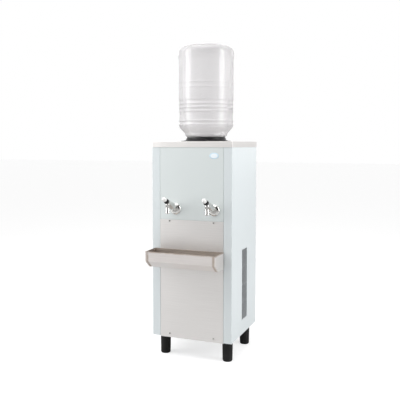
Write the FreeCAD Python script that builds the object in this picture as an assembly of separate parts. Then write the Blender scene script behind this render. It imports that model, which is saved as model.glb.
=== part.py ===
import FreeCAD, Part
import math
import os

V = FreeCAD.Vector

# Top-loading water cooler: a sheet steel cabinet on four legs, two push-button taps over a hanging
# drip tray, a chilled tank inside and an inverted bottle standing in a collar on the lid.
# Millimetres, +Z up, the front faces -Y and +X is on the right of someone who faces the front.
# The origin is on the floor, under the middle of the whole cooler.

# ---------------------------------------------------------------- driving dimensions
# Cabinet
cabinet_width = 398.0
cabinet_depth = 383.0
cabinet_height = 925.0
sheet = 1.2
bend = 2.0
edge_bend = 1.0
hem = 12.0
front_strip = 40.0
back_return = 16.0
panel_gap = 0.8
seam_height = 560.0
seam_gap = 0.8
panel_drop = 3.0
backing_strip_down = 20.0
backing_strip_up = 14.0
backing_strip_inset = 10.0

# Lid
lid_lip = 27.0
lid_gap = 0.3
lid_corner = 3.0
lid_edge = 1.6

# Base pan, legs and leg bolts
pan_sheet = 1.5
pan_upstand = 28.0
pan_gap = 0.3
leg_height = 100.0
leg_top_radius = 25.0
leg_bottom_radius = 23.5
leg_top_edge = 1.0
leg_rim = 4.0
leg_inset_side = 40.0
leg_inset_end = 60.0
leg_bolt_radius = 5.0
leg_bolt_reach = 40.0
leg_bolt_flats = 17.0
leg_bolt_head = 6.4
bolt_clearance = 0.3

# Panel screws
screw_radius = 2.0
screw_length = 9.0
screw_head_radius = 4.2
screw_head = 2.4
screw_dome = 1.2
screw_fit = 0.05
screw_slot_width = 0.9
screw_slot_share = 0.6
screw_slot_depth = 1.0
front_screw_inset = 48.2
front_screw_drop = 7.5
front_screw_rise = 15.0
back_screw_rows = 4
back_screw_end = 60.0

# Side vents
vent_width = 81.0
vent_height = 342.0
vent_rise = 68.5
vent_offset = 1.0
grille_sheet = 1.5
grille_border = 10.0
grille_columns = 12
grille_rows = 4
grille_bar = 2.0

# Back panel louvres
louvre_length = 70.0
louvre_width = 5.0
louvre_pitch = 14.0
louvre_rows = 12
louvre_spread = 110.0
louvre_rise = 120.0

# Badge plate, blank
badge_width = 45.0
badge_height = 28.0
badge_thickness = 1.5
badge_rim = 2.2
badge_recess = 0.4
badge_inset = 45.2
badge_drop = 66.0

# Collar that seats the bottle
collar_radius = 122.0
collar_flange = 3.5
collar_flange_edge = 1.0
collar_waist_radius = 101.0
collar_waist = 9.0
collar_waist_round = 8.0
collar_top_radius = 93.0
collar_top_edge = 1.2
collar_height = 22.0
collar_wall = 3.2
throat_radius = 33.0
throat_wall = 2.5
throat_edge = 0.8
throat_round = 2.0
throat_reach = 25.0
collar_spigot_radius = 60.0
collar_spigot_wall = 3.0
collar_spigot_reach = 10.0
collar_fit = 0.3
seat_gap = 0.35

# Bottle, mouth down
bottle_height = 506.0
bottle_wall = 1.6
waist_radius = 130.5
body_radius = 133.5
crown_radius = 136.0
crown_corner = 35.0
base_recess_radius = 84.0
base_recess = 12.0
base_round = 8.0
neck_radius = 27.5
neck_length = 46.0
neck_bead_radius = 29.5
neck_bead_rise = 30.0
neck_bead_height = 3.0
neck_bead_round = 0.8
neck_round = 4.0
dome_radius = 97.0
dome_rise = 26.0
dome_round = 2.0
band_radius = 103.5
band_rise = 80.4
band_height = 8.0
band_round = 1.5
band_top_round = 3.0
shoulder_rise = 117.4
shoulder_round = 6.0
low_ring_rise = 128.4
low_ring_step = 18.0
low_rings = 2
middle_ring_rise = 192.4
middle_ring_step = 18.0
middle_rings = 3
body_ring_rise = 306.4
body_ring_step = 23.0
body_rings = 2
waist_ring_height = 3.0
body_ring_height = 1.4
ring_half_width = 6.0
ring_round = 2.0
body_rise = 247.4
crown_rise = 452.4
crown_slope = 15.0

# Tank, its foam and the shelf under them
tank_radius = 95.0
tank_wall = 1.2
tank_floor_rise = 700.0
tank_rim_radius = 108.0
tank_rim_drop = 7.0
gasket_width = 8.0
outlet_radius = 5.4
outlet_bore = 3.9
outlet_reach = 40.0
outlet_spread = 45.0
outlet_forward = 60.0
foam_half = 125.0
foam_floor = 25.0
foam_fit = 0.3
shelf_half_depth = 130.0
shelf_flange = 20.0
baffle_rise = 99.0
baffle_thickness = 2.0
baffle_gap = 1.3
baffle_leg_radius = 4.0
baffle_leg_circle = 70.0
baffle_legs = 3
riser_wall = 2.0
riser_over = 6.0
jacket_thickness = 3.8
jacket_rise = 6.0
jacket_height = 88.0
jacket_fit = 0.15

# Taps
tap_left_inset = 119.0
tap_right_inset = 87.0
tap_rise = 610.5
tap_tilt = 23.8
flange_radius = 27.0
flange_round = 0.6
flange_crown_round = 12.0
flange_edge = 1.5
flange_dome = 9.0
flange_crown_radius = 14.0
shank_radius = 12.0
shank_fit = 0.3
shank_length = 13.0
tail_radius = 8.0
tail_length = 17.0
tail_hole_fit = 0.3
barb_radius = 5.4
barb_length = 20.0
tail_bore = 4.2
inlet_reach = 20.0
bell_back_round = 3.0
bell_round = 24.0
bell_front_edge = 0.6
bell_start = 13.0
bell_back_radius = 13.0
bell_radius = 16.5
bell_shoulder = 38.0
bell_front = 104.0
bell_front_radius = 11.2
chamber_radius = 8.2
chamber_start = 17.0
spout_reach = 86.0
spout_radius = 9.5
spout_top_radius = 10.5
port_step = 0.5
spout_bore = 5.5
spout_drop = 13.5
spout_rim = 1.2
cartridge_fit = 0.2
cartridge_start = 66.0
cartridge_bore = 6.0
cartridge_seat = 2.5
seat_bore = 4.0
bonnet_radius = 10.5
bonnet_length = 11.0
bonnet_edge = 1.5
bonnet_wall = 7.0
stem_radius = 2.5
stem_fit = 0.06
stem_tip = 60.0
stem_tip_edge = 0.5
stem_tip_radius = 4.0
washer_radius = 7.0
washer_thickness = 3.4
washer_gap = 0.1
stem_collar_place = 97.0
stem_collar_radius = 5.3
stem_collar_length = 2.0
spring_inner = 3.2
spring_outer = 5.2
spring_gap = 0.3
button_gap = 10.0
button_length = 21.0
button_radius = 10.0
button_dome_radius = 14.0
button_back_edge = 1.0
button_socket = 11.0
nut_flats = 24.0
nut_thickness = 6.0
nut_fit = 0.05
hose_radius = 8.0
hose_fit = 0.1
hose_start = 18.0
hose_run = 67.0
hose_end_gap = 0.5

# Drip tray and the rail that it hangs on
tray_left_inset = 15.0
tray_right_inset = 38.0
tray_depth = 110.0
tray_rise = 420.5
tray_face = 45.0
tray_chamfer_down = 32.0
tray_chamfer_back = 39.0
least_bend = 0.3
tray_bend = 2.0
tray_back_gap = 5.0
hook_gap = 1.6
hook_drop = 15.0
heel_gap = 0.3
heel_height = 6.0
heel_rail_gap = 6.0
rail_end_inset = 47.5
rail_drop = 50.0
rail_channel = 4.6
rail_channel_drop = 20.5
rail_seat_gap = 0.3

# Compressor
compressor_inset = 124.0
compressor_back = 40.0
compressor_radius = 72.0
compressor_height = 165.0
compressor_round = 34.0
seam_radius = 75.0
seam_thickness = 5.0
seam_rise = 80.0
foot_plate_width = 196.0
foot_plate_depth = 116.0
foot_plate_sheet = 3.0
mount_height = 14.0
mount_radius = 13.0
mount_inset = 16.0
terminal_width = 62.0
terminal_height = 56.0
terminal_depth = 26.0
terminal_rise = 70.0
terminal_edge = 4.0

# Condenser, its tube and the fan
core_depth = 42.0
core_width = 150.0
core_height = 330.0
core_rise = 64.0
core_gap = 6.0
core_sheet = 1.0
core_foot = 14.0
fin_count = 24
fin_thickness = 0.6
tube_radius = 4.0
tube_fit = 0.1
tube_passes = 8
tube_pitch = 34.0
tube_top_drop = 36.0
tube_overhang = 20.0
drier_back = 130.0
drier_drop = 24.0
drier_radius = 11.0
drier_length = 60.0
drier_round = 3.0
drier_cone = 9.0
fan_rise = 230.0
shroud_sheet = 1.5
shroud_radius = 70.0
shroud_depth = 26.0
spider_width = 10.0
spider_sheet = 2.0
spider_boss = 24.0
motor_radius = 22.0
motor_length = 44.0
motor_edge = 1.0
motor_round = 5.0
shaft_radius = 3.0
shaft_fit = 0.06
shaft_in_motor = 16.0
hub_radius = 16.0
hub_round = 4.0
hub_length = 18.0
hub_gap = 4.0
blade_count = 5
blade_radius = 66.0
blade_thickness = 1.6
blade_pitch = 28.0
blade_chord = 34.0

# Refrigerant lines
line_back = 150.0
discharge_back = 135.0
line_fit = 0.2
capillary_radius = 1.2
capillary_dip = 16.0
capillary_offset = 85.0
capillary_fall = 50.0
discharge_port_over = 35.0
discharge_run = 42.0
discharge_climb = 40.0
suction_port_over = 45.0
suction_fall = 50.0
port_overlap = 2.0
capillary_entry_x = 30.0
capillary_entry_over = 44.0
suction_entry_x = -30.0
suction_entry_over = 74.0
foam_hole_gap = 1.0

# Thermostat, its knob and the cable gland, at the back
thermostat_inset = 79.0
thermostat_rise = 540.0
thermostat_width = 42.0
thermostat_height = 30.0
thermostat_depth = 28.0
bushing_radius = 5.0
bushing_fit = 0.3
bushing_out = 3.0
knob_radius = 14.0
knob_gap = 1.2
knob_height = 15.0
knob_edge = 1.5
knob_spindle = 3.0
knob_spindle_fit = 0.08
knob_spindle_reach = 14.0
knob_pointer_depth = 1.0
knob_pointer_width = 3.0
gland_inset = 79.0
gland_rise = 52.0
gland_thread = 8.0
gland_flats = 22.0
gland_nut = 5.0
gland_cap_round = 3.0
gland_cap_radius = 9.5
gland_cap = 13.0
gland_bore = 3.6
gland_inner = 8.0

# ---------------------------------------------------------------- derived places
tilt = math.radians(tap_tilt)
bonnet_front = bell_front + bonnet_length
button_back = bonnet_front + button_gap
button_front = button_back + button_length
dome_centre = button_front - button_dome_radius
front_reach = dome_centre * math.cos(tilt) + button_dome_radius
back_reach = knob_gap + knob_height
mid_y = (front_reach - back_reach) / 2
front_y = mid_y - cabinet_depth / 2
back_y = mid_y + cabinet_depth / 2
side_x = cabinet_width / 2
inner_x = side_x - sheet
base_z = leg_height
pan_top = base_z + pan_sheet
lid_top = base_z + cabinet_height
lid_under = lid_top - sheet
seam_z = base_z + seam_height
centre_half = side_x - front_strip - panel_gap
front_screw_x = centre_half - front_screw_inset
badge_x = centre_half - badge_inset
compressor_x = compressor_inset - side_x
thermostat_x = side_x - thermostat_inset
gland_x = gland_inset - side_x
tap_places = {"left": tap_left_inset - side_x, "right": side_x - tap_right_inset}
tray_start = tray_left_inset - side_x
tray_end = side_x - tray_right_inset
strip_half = centre_half - backing_strip_inset
panel_back_y = front_y + sheet
tap_z = base_z + tap_rise
tank_floor = base_z + tank_floor_rise
tank_rim = lid_under - tank_rim_drop
shelf_top = tank_floor - foam_floor
shelf_bottom = shelf_top - sheet
vent_z = base_z + vent_rise
vent_y = mid_y + vent_offset
tray_rim = base_z + tray_rise
tray_low = tray_rim - tray_face - tray_chamfer_down
dome_slope = dome_rise / (dome_radius - neck_radius)
seat_rise = neck_length + dome_slope * (collar_top_radius - neck_radius)
mouth_z = lid_top + collar_height + seat_gap - seat_rise
outlet_y = mid_y - outlet_forward
outlet_places = {"left": -outlet_spread, "right": outlet_spread}
core_x = inner_x - grille_sheet - core_gap - core_depth / 2
core_z = pan_top + core_rise
core_front_x = core_x - core_depth / 2
tube_top = core_z + core_height - tube_top_drop
tube_low = tube_top - tube_pitch * (tube_passes - 1)
tube_end_y = vent_y + core_width / 2 + tube_overhang
fan_z = pan_top + fan_rise
jacket_z = tank_floor + jacket_rise
jacket_radius = tank_radius + jacket_fit + jacket_thickness
compressor_y = mid_y + compressor_back
shell_z = pan_top + mount_height + foot_plate_sheet


# ---------------------------------------------------------------- shape helpers
def block(x0, x1, y0, y1, z0, z1):
    return Part.makeBox(x1 - x0, y1 - y0, z1 - z0, V(x0, y0, z0))


def rod(radius, start, end):
    along = end - start
    return Part.makeCylinder(radius, along.Length, start, along)


def outline(corners, place):
    """Closed face through (a, b, radius) corners, each rounded by its radius."""
    points = [place(a, b) for a, b, radius in corners]
    edges = []
    stops = []
    for number, (a, b, radius) in enumerate(corners):
        here = points[number]
        back = (points[number - 1] - here).normalize()
        ahead = (points[(number + 1) % len(points)] - here).normalize()
        if radius <= 0:
            stops.append((here, here, None))
            continue
        half = back.getAngle(ahead) / 2
        reach = radius / math.tan(half)
        middle = (back + ahead).normalize()
        centre = here + middle * (radius / math.sin(half))
        stops.append((here + back * reach, here + ahead * reach, centre - middle * radius))
    for number, (start, end, bulge) in enumerate(stops):
        if bulge is not None:
            edges.append(Part.Arc(start, bulge, end).toShape())
        following = stops[(number + 1) % len(stops)][0]
        if (following - end).Length > 1e-6:
            edges.append(Part.LineSegment(end, following).toShape())
    return Part.Face(Part.Wire(edges))


def turned(corners):
    """Solid of revolution about Z from (radius, height, rounding) corners."""
    face = outline(corners, lambda a, b: V(a, 0, b))
    return face.revolve(V(0, 0, 0), V(0, 0, 1), 360)


def ring(outer, inner, z0, z1):
    return turned([(inner, z0, 0), (outer, z0, 0), (outer, z1, 0), (inner, z1, 0)])


def moved(shape, x, y, z):
    return shape.translated(V(x, y, z))


def hexagon(flats, z0, z1):
    reach = flats / math.sqrt(3)
    corners = [V(reach * math.cos(math.radians(60 * k)), reach * math.sin(math.radians(60 * k)), z0)
               for k in range(7)]
    return Part.Face(Part.makePolygon(corners)).extrude(V(0, 0, z1 - z0))


def facing(shape, direction):
    """Turns a shape made along +Z so that its axis points along direction."""
    turn = FreeCAD.Rotation(V(0, 0, 1), direction)
    copy = shape.copy()
    copy.Placement = FreeCAD.Placement(V(0, 0, 0), turn)
    return copy


def run_radius(before, here, after):
    half_turn = (here - before).getAngle(after - here) / 2
    shorter = min((here - before).Length, (after - here).Length)
    return 0.45 * shorter / math.tan(half_turn)


def route(points):
    """Straight runs joined by tangent arcs, each as large as its two runs allow."""
    edges = []
    last = points[0]
    for before, here, after in zip(points, points[1:], points[2:]):
        back = (before - here).normalize()
        ahead = (after - here).normalize()
        half = back.getAngle(ahead) / 2
        radius = run_radius(before, here, after)
        reach = radius / math.tan(half)
        middle = (back + ahead).normalize()
        bulge = here + middle * (radius / math.sin(half) - radius)
        start = here + back * reach
        end = here + ahead * reach
        if (start - last).Length > 1e-6:
            edges.append(Part.LineSegment(last, start).toShape())
        edges.append(Part.Arc(start, bulge, end).toShape())
        last = end
    edges.append(Part.LineSegment(last, points[-1]).toShape())
    return Part.Wire(edges)


def tube(points, radius):
    start = points[0]
    section = Part.Wire(Part.makeCircle(radius, start, points[1] - start))
    return route(points).makePipeShell([section], True, False)


def hollow_tube(points, outer, inner):
    return tube(points, outer).cut(tube(points, inner))


def save(name, shape):
    for solid in shape.Solids:
        if not solid.isValid():
            print("not valid:", name)
    shape.exportStep("parts/%s.step" % name)
    print(name, len(shape.Solids), "solid(s)", round(shape.Volume), "mm3")


# ---------------------------------------------------------------- screws
def screw():
    """Pan head screw along +Z, with its head's seat at zero and its shank below."""
    head = turned([(0, 0, 0), (screw_head_radius, 0, 0), (screw_head_radius, screw_head, screw_dome),
                   (0, screw_head, 0)])
    shank = Part.makeCylinder(screw_radius, screw_length, V(0, 0, -screw_length))
    body = head.fuse(shank)
    for quarter in range(2):
        reach = screw_head_radius * screw_slot_share
        arm = block(-reach, reach, -screw_slot_width / 2,
                    screw_slot_width / 2, screw_head - screw_slot_depth, screw_head + 1)
        arm.rotate(V(0, 0, 0), V(0, 0, 1), 90 * quarter)
        body = body.cut(arm)
    return body.removeSplitter()


def front_screw_places():
    places = []
    for x in (-front_screw_x, front_screw_x):
        for z in (base_z + front_screw_rise, seam_z - front_screw_drop):
            places.append(V(x, front_y, z))
    return places


def back_screw_places():
    low = base_z + back_screw_end
    high = lid_top - back_screw_end
    step = (high - low) / (back_screw_rows - 1)
    places = []
    for side in (-1, 1):
        for row in range(back_screw_rows):
            places.append(V(side * (inner_x - back_return / 2), back_y, low + row * step))
    return places


def screws_at(places, outward):
    return Part.makeCompound([facing(screw(), outward).translated(place) for place in places])


def drilled(shape, places, radius, depth):
    for place in places:
        shape = shape.cut(rod(radius, place - V(0, depth, 0), place + V(0, depth, 0)))
    return shape


# ---------------------------------------------------------------- cabinet sheet metal
def side_panel(side):
    """Side wall folded round into the front strip, with a return for the back panel."""
    inner_front = side_x - front_strip
    corners = [
        (side_x, back_y, 0),
        (side_x, front_y, bend),
        (inner_front, front_y, edge_bend),
        (inner_front, front_y + hem, 0),
        (inner_front + sheet, front_y + hem, 0),
        (inner_front + sheet, panel_back_y, 0),
        (inner_x, panel_back_y, 0),
        (inner_x, back_y - 2 * sheet, 0),
        (inner_x - back_return, back_y - 2 * sheet, 0),
        (inner_x - back_return, back_y - sheet, 0),
        (inner_x, back_y - sheet, 0),
        (inner_x, back_y, 0),
    ]
    face = outline(corners, lambda a, b: V(a, b, base_z))
    panel = face.extrude(V(0, 0, lid_under - base_z))
    window = block(inner_x - 1, side_x + 1, vent_y - vent_width / 2, vent_y + vent_width / 2,
                   vent_z, vent_z + vent_height)
    panel = panel.cut(window)
    if side < 0:
        panel = panel.mirror(V(0, 0, 0), V(1, 0, 0))
    own_screws = [place for place in back_screw_places() if place.x * side > 0]
    return drilled(panel, own_screws, screw_radius + screw_fit, screw_length)


def vent_grille(side):
    """Slotted plate behind the side window."""
    x1 = inner_x
    x0 = inner_x - grille_sheet
    plate = block(x0, x1, vent_y - vent_width / 2 - grille_border, vent_y + vent_width / 2 + grille_border,
                  vent_z - grille_border, vent_z + vent_height + grille_border)
    column = (vent_width - grille_bar) / grille_columns
    row = (vent_height - grille_bar) / grille_rows
    slots = []
    for i in range(grille_columns):
        for k in range(grille_rows):
            y0 = vent_y - vent_width / 2 + grille_bar + i * column
            z0 = vent_z + grille_bar + k * row
            slots.append(block(x0 - 1, x1 + 1, y0, y0 + column - grille_bar, z0, z0 + row - grille_bar))
    plate = plate.cut(Part.makeCompound(slots))
    if side < 0:
        plate = plate.mirror(V(0, 0, 0), V(1, 0, 0))
    return plate


def channel(half_width, z0, z1):
    """Centre panel: a flat face with both side edges folded back."""
    corners = [
        (-half_width, front_y, edge_bend),
        (half_width, front_y, edge_bend),
        (half_width, front_y + hem, 0),
        (half_width - sheet, front_y + hem, 0),
        (half_width - sheet, panel_back_y, 0),
        (-half_width + sheet, panel_back_y, 0),
        (-half_width + sheet, front_y + hem, 0),
        (-half_width, front_y + hem, 0),
    ]
    face = outline(corners, lambda a, b: V(a, b, z0))
    return face.extrude(V(0, 0, z1 - z0))


def lower_front_panel():
    panel = channel(centre_half, base_z - panel_drop, seam_z - seam_gap / 2)
    return drilled(panel, front_screw_places(), screw_radius + bolt_clearance, hem / 2)


def upper_front_panel():
    """Upper panel with a backing strip that reaches down behind the lower one."""
    panel = channel(centre_half, seam_z + seam_gap / 2, lid_under)
    strip = block(-strip_half, strip_half, panel_back_y, panel_back_y + sheet,
                  seam_z - backing_strip_down, seam_z + backing_strip_up)
    panel = panel.fuse(strip)
    panel = drilled(panel, front_screw_places(), screw_radius + screw_fit, hem / 2)
    for x in tap_places.values():
        middle = V(x, front_y, tap_z)
        panel = panel.cut(rod(tail_radius + tail_hole_fit, middle - V(0, hem / 2, 0), middle + V(0, hem / 2, 0)))
    return panel


def louvre_places():
    places = []
    for x in (-louvre_spread, 0, louvre_spread):
        for row in range(louvre_rows):
            places.append(V(x, back_y, base_z + louvre_rise + row * louvre_pitch))
    return places


def back_panel():
    half = inner_x - lid_gap
    panel = block(-half, half, back_y - sheet, back_y, base_z, lid_under)
    slots = []
    for place in louvre_places():
        slots.append(block(place.x - louvre_length / 2, place.x + louvre_length / 2, back_y - 2 * sheet,
                           back_y + sheet, place.z - louvre_width / 2, place.z + louvre_width / 2))
    panel = panel.cut(Part.makeCompound(slots))
    panel = drilled(panel, back_screw_places(), screw_radius + bolt_clearance, sheet * 2)
    shaft_hole = V(thermostat_x, back_y, base_z + thermostat_rise)
    gland_hole = V(gland_x, back_y, base_z + gland_rise)
    panel = drilled(panel, [shaft_hole], bushing_radius + bushing_fit, sheet * 2)
    return drilled(panel, [gland_hole], gland_thread + bushing_fit, sheet * 2)


def top_cover():
    """Lid: a flat sheet with a lip all round, and a hole for the collar's spigot."""
    half = side_x + lid_gap + sheet
    y0 = front_y - lid_gap - sheet
    y1 = back_y + lid_gap + sheet
    shell = block(-half, half, y0, y1, lid_top - lid_lip, lid_top)
    upright = [edge for edge in shell.Edges if abs(edge.tangentAt(edge.FirstParameter).z) > 0.9]
    shell = shell.makeFillet(lid_corner, upright)
    rim = [edge for edge in shell.Edges if edge.BoundBox.ZMin > lid_top - 0.01]
    shell = shell.makeFillet(lid_edge, rim)
    inside = block(-half + sheet, half - sheet, y0 + sheet, y1 - sheet, lid_top - lid_lip - 1, lid_under)
    shell = shell.cut(inside)
    hole = Part.makeCylinder(collar_spigot_radius + collar_fit, 4 * sheet, V(0, mid_y, lid_top - 2 * sheet))
    return shell.cut(hole)


def base_pan():
    """Floor of the cabinet, with upstands on all four sides and bolt holes for the legs."""
    half = inner_x - pan_gap
    y0 = front_y + hem + pan_gap
    y1 = back_y - 2 * sheet - pan_gap
    tab_half = strip_half
    floor = block(-half, half, y0, y1, base_z, pan_top)
    tab = block(-tab_half, tab_half, panel_back_y, y0, base_z, pan_top)
    wall_top = pan_top + pan_upstand
    front = block(-tab_half, tab_half, panel_back_y, panel_back_y + pan_sheet, base_z, wall_top)
    back = block(-half, half, y1 - pan_sheet, y1, base_z, wall_top)
    left = block(-half, -half + pan_sheet, y0, y1, base_z, wall_top)
    right = block(half - pan_sheet, half, y0, y1, base_z, wall_top)
    pan = floor.multiFuse([tab, front, back, left, right]).removeSplitter()
    for place in leg_places().values():
        pan = pan.cut(Part.makeCylinder(leg_bolt_radius + bolt_clearance, 4 * pan_sheet,
                                        V(place.x, place.y, base_z - pan_sheet)))
    low_screws = [place for place in front_screw_places() if place.z < seam_z / 2]
    return drilled(pan, low_screws, screw_radius + screw_fit, hem)


def leg_places():
    x = side_x - leg_inset_side
    places = {}
    for end, y in (("front", front_y + leg_inset_end), ("back", back_y - leg_inset_end)):
        for side, sign in (("left", -1), ("right", 1)):
            places["%s_%s" % (end, side)] = V(sign * x, y, 0)
    return places


def leg(place):
    body = turned([(0, 0, 0), (leg_bottom_radius, 0, leg_rim), (leg_top_radius, leg_height, leg_top_edge),
                   (0, leg_height, 0)])
    hole = Part.makeCylinder(leg_bolt_radius + screw_fit, leg_bolt_reach + 2, V(0, 0, leg_height - leg_bolt_reach - 2))
    return body.cut(hole).translated(place)


def leg_bolts():
    head = hexagon(leg_bolt_flats, pan_top, pan_top + leg_bolt_head)
    shank = Part.makeCylinder(leg_bolt_radius, leg_bolt_reach + pan_sheet, V(0, 0, leg_height - leg_bolt_reach))
    bolt = head.fuse(shank).removeSplitter()
    return Part.makeCompound([bolt.translated(place) for place in leg_places().values()])


def badge_plate():
    """Blank oval plate with a raised rim, stuck on the upper panel."""
    def oval(width, height, y):
        ellipse = Part.Ellipse(V(0, 0, 0), width / 2, height / 2)
        face = Part.Face(Part.Wire(ellipse.toShape()))
        face.rotate(V(0, 0, 0), V(1, 0, 0), 90)
        return face.translated(V(badge_x, y, lid_top - badge_drop))
    plate = oval(badge_width, badge_height, front_y).extrude(V(0, -badge_thickness, 0))
    front = front_y - badge_thickness
    recess = oval(badge_width - 2 * badge_rim, badge_height - 2 * badge_rim, front - 1)
    return plate.cut(recess.extrude(V(0, 1 + badge_recess, 0)))


# ---------------------------------------------------------------- collar and bottle
def bottle_collar():
    """Moulded ring on the lid, whose funnel carries the bottle's shoulder."""
    def funnel(radius):
        return collar_height - dome_slope * (collar_top_radius - radius)
    throat_outer = throat_radius + throat_wall
    spigot_inner = collar_spigot_radius - collar_spigot_wall
    body = turned([
        (throat_radius, -throat_reach, throat_edge),
        (throat_outer, -throat_reach, throat_edge),
        (throat_outer, funnel(throat_outer) - collar_wall, 0),
        (spigot_inner, 0, 0),
        (spigot_inner, -collar_spigot_reach, 0),
        (collar_spigot_radius, -collar_spigot_reach, 0),
        (collar_spigot_radius, 0, 0),
        (collar_radius, 0, 0),
        (collar_radius, collar_flange, collar_flange_edge),
        (collar_waist_radius, collar_waist, collar_waist_round),
        (collar_top_radius, collar_height, collar_top_edge),
        (throat_radius, funnel(throat_radius), throat_round),
    ])
    pocket_in = collar_spigot_radius + collar_wall
    pocket_out = collar_top_radius - collar_wall
    pocket = turned([
        (pocket_in, -0.01, 0),
        (collar_radius - 2 * collar_wall, -0.01, 0),
        (collar_waist_radius - collar_wall, collar_waist - collar_wall / 2, 0),
        (pocket_out, funnel(pocket_out) - collar_wall, 0),
        (pocket_in, funnel(pocket_in) - collar_wall, 0),
    ])
    return moved(body.cut(pocket), 0, mid_y, lid_top)


def bottle_outline(wall):
    """Corners of the bottle's surface above its mouth, or of its hollow when wall is more than zero."""
    top = bottle_height - wall
    mouth = -1 if wall > 0 else 0
    corners = [(0, mouth, 0), (neck_radius - wall, mouth, 0)]
    if wall == 0:
        corners += [
            (neck_radius, neck_bead_rise - neck_bead_height, 0),
            (neck_bead_radius, neck_bead_rise - neck_bead_height / 2, neck_bead_round),
            (neck_bead_radius, neck_bead_rise + neck_bead_height / 2, neck_bead_round),
            (neck_radius, neck_bead_rise + neck_bead_height, 0),
        ]
    corners += [
        (neck_radius - wall, neck_length + wall, neck_round),
        (dome_radius - wall, neck_length + dome_rise + wall, dome_round),
        (band_radius - wall, band_rise + wall, band_round),
        (band_radius - wall, band_rise + band_height + wall, band_top_round),
        (waist_radius - wall, shoulder_rise + wall, shoulder_round),
    ]
    corners += ring_corners(low_ring_rise, low_ring_step, low_rings, waist_radius - wall, waist_ring_height)
    corners += ring_corners(middle_ring_rise, middle_ring_step, middle_rings, waist_radius - wall,
                            waist_ring_height)
    corners += [
        (waist_radius - wall, body_rise - ring_half_width, ring_round),
        (body_radius - wall, body_rise, ring_round),
    ]
    corners += ring_corners(body_ring_rise, body_ring_step, body_rings, body_radius - wall, body_ring_height)
    corners += [
        (body_radius - wall, crown_rise - crown_slope, ring_round),
        (crown_radius - wall, crown_rise, ring_round),
        (crown_radius - wall, top, crown_corner - wall),
        (base_recess_radius + base_recess, top, base_round),
        (base_recess_radius, top - base_recess, base_round),
        (0, top - base_recess, 0),
    ]
    return corners


def ring_corners(first_rise, step, count, radius, height):
    corners = []
    for number in range(count):
        rise = first_rise + number * step
        corners += [
            (radius, rise - ring_half_width, ring_round),
            (radius + height, rise, ring_round),
            (radius, rise + ring_half_width, ring_round),
        ]
    return corners


def water_bottle():
    solid = turned(bottle_outline(0)).cut(turned(bottle_outline(bottle_wall)))
    return moved(solid, 0, mid_y, mouth_z)


# ---------------------------------------------------------------- tank and chilling
def water_tank():
    inner = tank_radius - tank_wall
    wall = ring(tank_radius, inner, tank_floor, tank_rim)
    floor = Part.makeCylinder(tank_radius, tank_wall, V(0, 0, tank_floor))
    rim = ring(tank_rim_radius, inner, tank_rim, tank_rim + tank_wall)
    tank = wall.multiFuse([floor, rim])
    for x in outlet_places.values():
        low = V(x, -outlet_forward, tank_floor - outlet_reach)
        tank = tank.fuse(Part.makeCylinder(outlet_radius, outlet_reach, low))
        tank = tank.cut(Part.makeCylinder(outlet_bore, outlet_reach + 4 * tank_wall, low))
    return moved(tank.removeSplitter(), 0, mid_y, 0)


def tank_gasket():
    low = tank_rim + tank_wall
    return moved(ring(tank_rim_radius, tank_rim_radius - gasket_width, low, lid_under), 0, mid_y, 0)


def tank_baffle():
    """Disc on three legs that keeps the chilled water below, with a riser to the right tap's outlet."""
    floor = tank_floor + tank_wall
    top = floor + baffle_rise
    disc = Part.makeCylinder(tank_radius - tank_wall - baffle_gap, baffle_thickness, V(0, 0, top))
    legs = []
    for k in range(baffle_legs):
        angle = math.radians(90 + 360 / baffle_legs * k)
        foot = V(baffle_leg_circle * math.cos(angle), baffle_leg_circle * math.sin(angle), floor)
        legs.append(Part.makeCylinder(baffle_leg_radius, baffle_rise, foot))
    foot = V(outlet_places["right"], -outlet_forward, floor)
    riser = Part.makeCylinder(outlet_bore + riser_wall, baffle_rise + riser_over, foot)
    bore = Part.makeCylinder(outlet_bore, baffle_rise + riser_over + 2, foot - V(0, 0, 1))
    return moved(disc.multiFuse(legs + [riser]).cut(bore).removeSplitter(), 0, mid_y, 0)


def evaporator_jacket():
    inner = tank_radius + jacket_fit
    low = jacket_z
    return moved(ring(jacket_radius, inner, low, low + jacket_height), 0, mid_y, 0)


def insulation(side):
    """Half of the foam round the tank, parted on the tank's middle plane."""
    y0, y1 = (-foam_half, 0) if side == "front" else (0, foam_half)
    half = block(-foam_half, foam_half, y0, y1, shelf_top, tank_rim)
    bore = Part.makeCylinder(tank_radius + jacket_thickness + jacket_fit + foam_fit, tank_rim - tank_floor + 1,
                             V(0, 0, tank_floor))
    half = half.cut(bore)
    if side == "front":
        for x in outlet_places.values():
            half = half.cut(Part.makeCylinder(outlet_radius + foam_fit, foam_floor + 2,
                                              V(x, -outlet_forward, shelf_top - 1)))
    else:
        for x, over, radius in ((capillary_entry_x, capillary_entry_over, capillary_radius),
                                (suction_entry_x, suction_entry_over, tube_radius)):
            start = V(x, tank_radius / 2, jacket_z + over)
            half = half.cut(rod(radius + foam_hole_gap, start, start + V(0, foam_half, 0)))
    return moved(half, 0, mid_y, 0)


def tank_shelf():
    """Shelf between the side walls that carries the foam and the tank."""
    y0 = mid_y - shelf_half_depth
    y1 = mid_y + shelf_half_depth
    plate = block(-inner_x, inner_x, y0, y1, shelf_bottom, shelf_top)
    flanges = [block(-inner_x, -inner_x + sheet, y0, y1, shelf_top - shelf_flange, shelf_top),
               block(inner_x - sheet, inner_x, y0, y1, shelf_top - shelf_flange, shelf_top)]
    shelf = plate.multiFuse(flanges).removeSplitter()
    for x in outlet_places.values():
        shelf = shelf.cut(Part.makeCylinder(outlet_radius + foam_fit, 4 * sheet, V(x, outlet_y, shelf_bottom - sheet)))
    return shelf


# ---------------------------------------------------------------- taps
def on_tap_axis(shape, x):
    """Puts a shape made along +Z on the tap's tilted axis, starting at the panel's face."""
    along = V(0, -math.cos(tilt), math.sin(tilt))
    return facing(shape, along).translated(V(x, front_y, tap_z))


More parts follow.
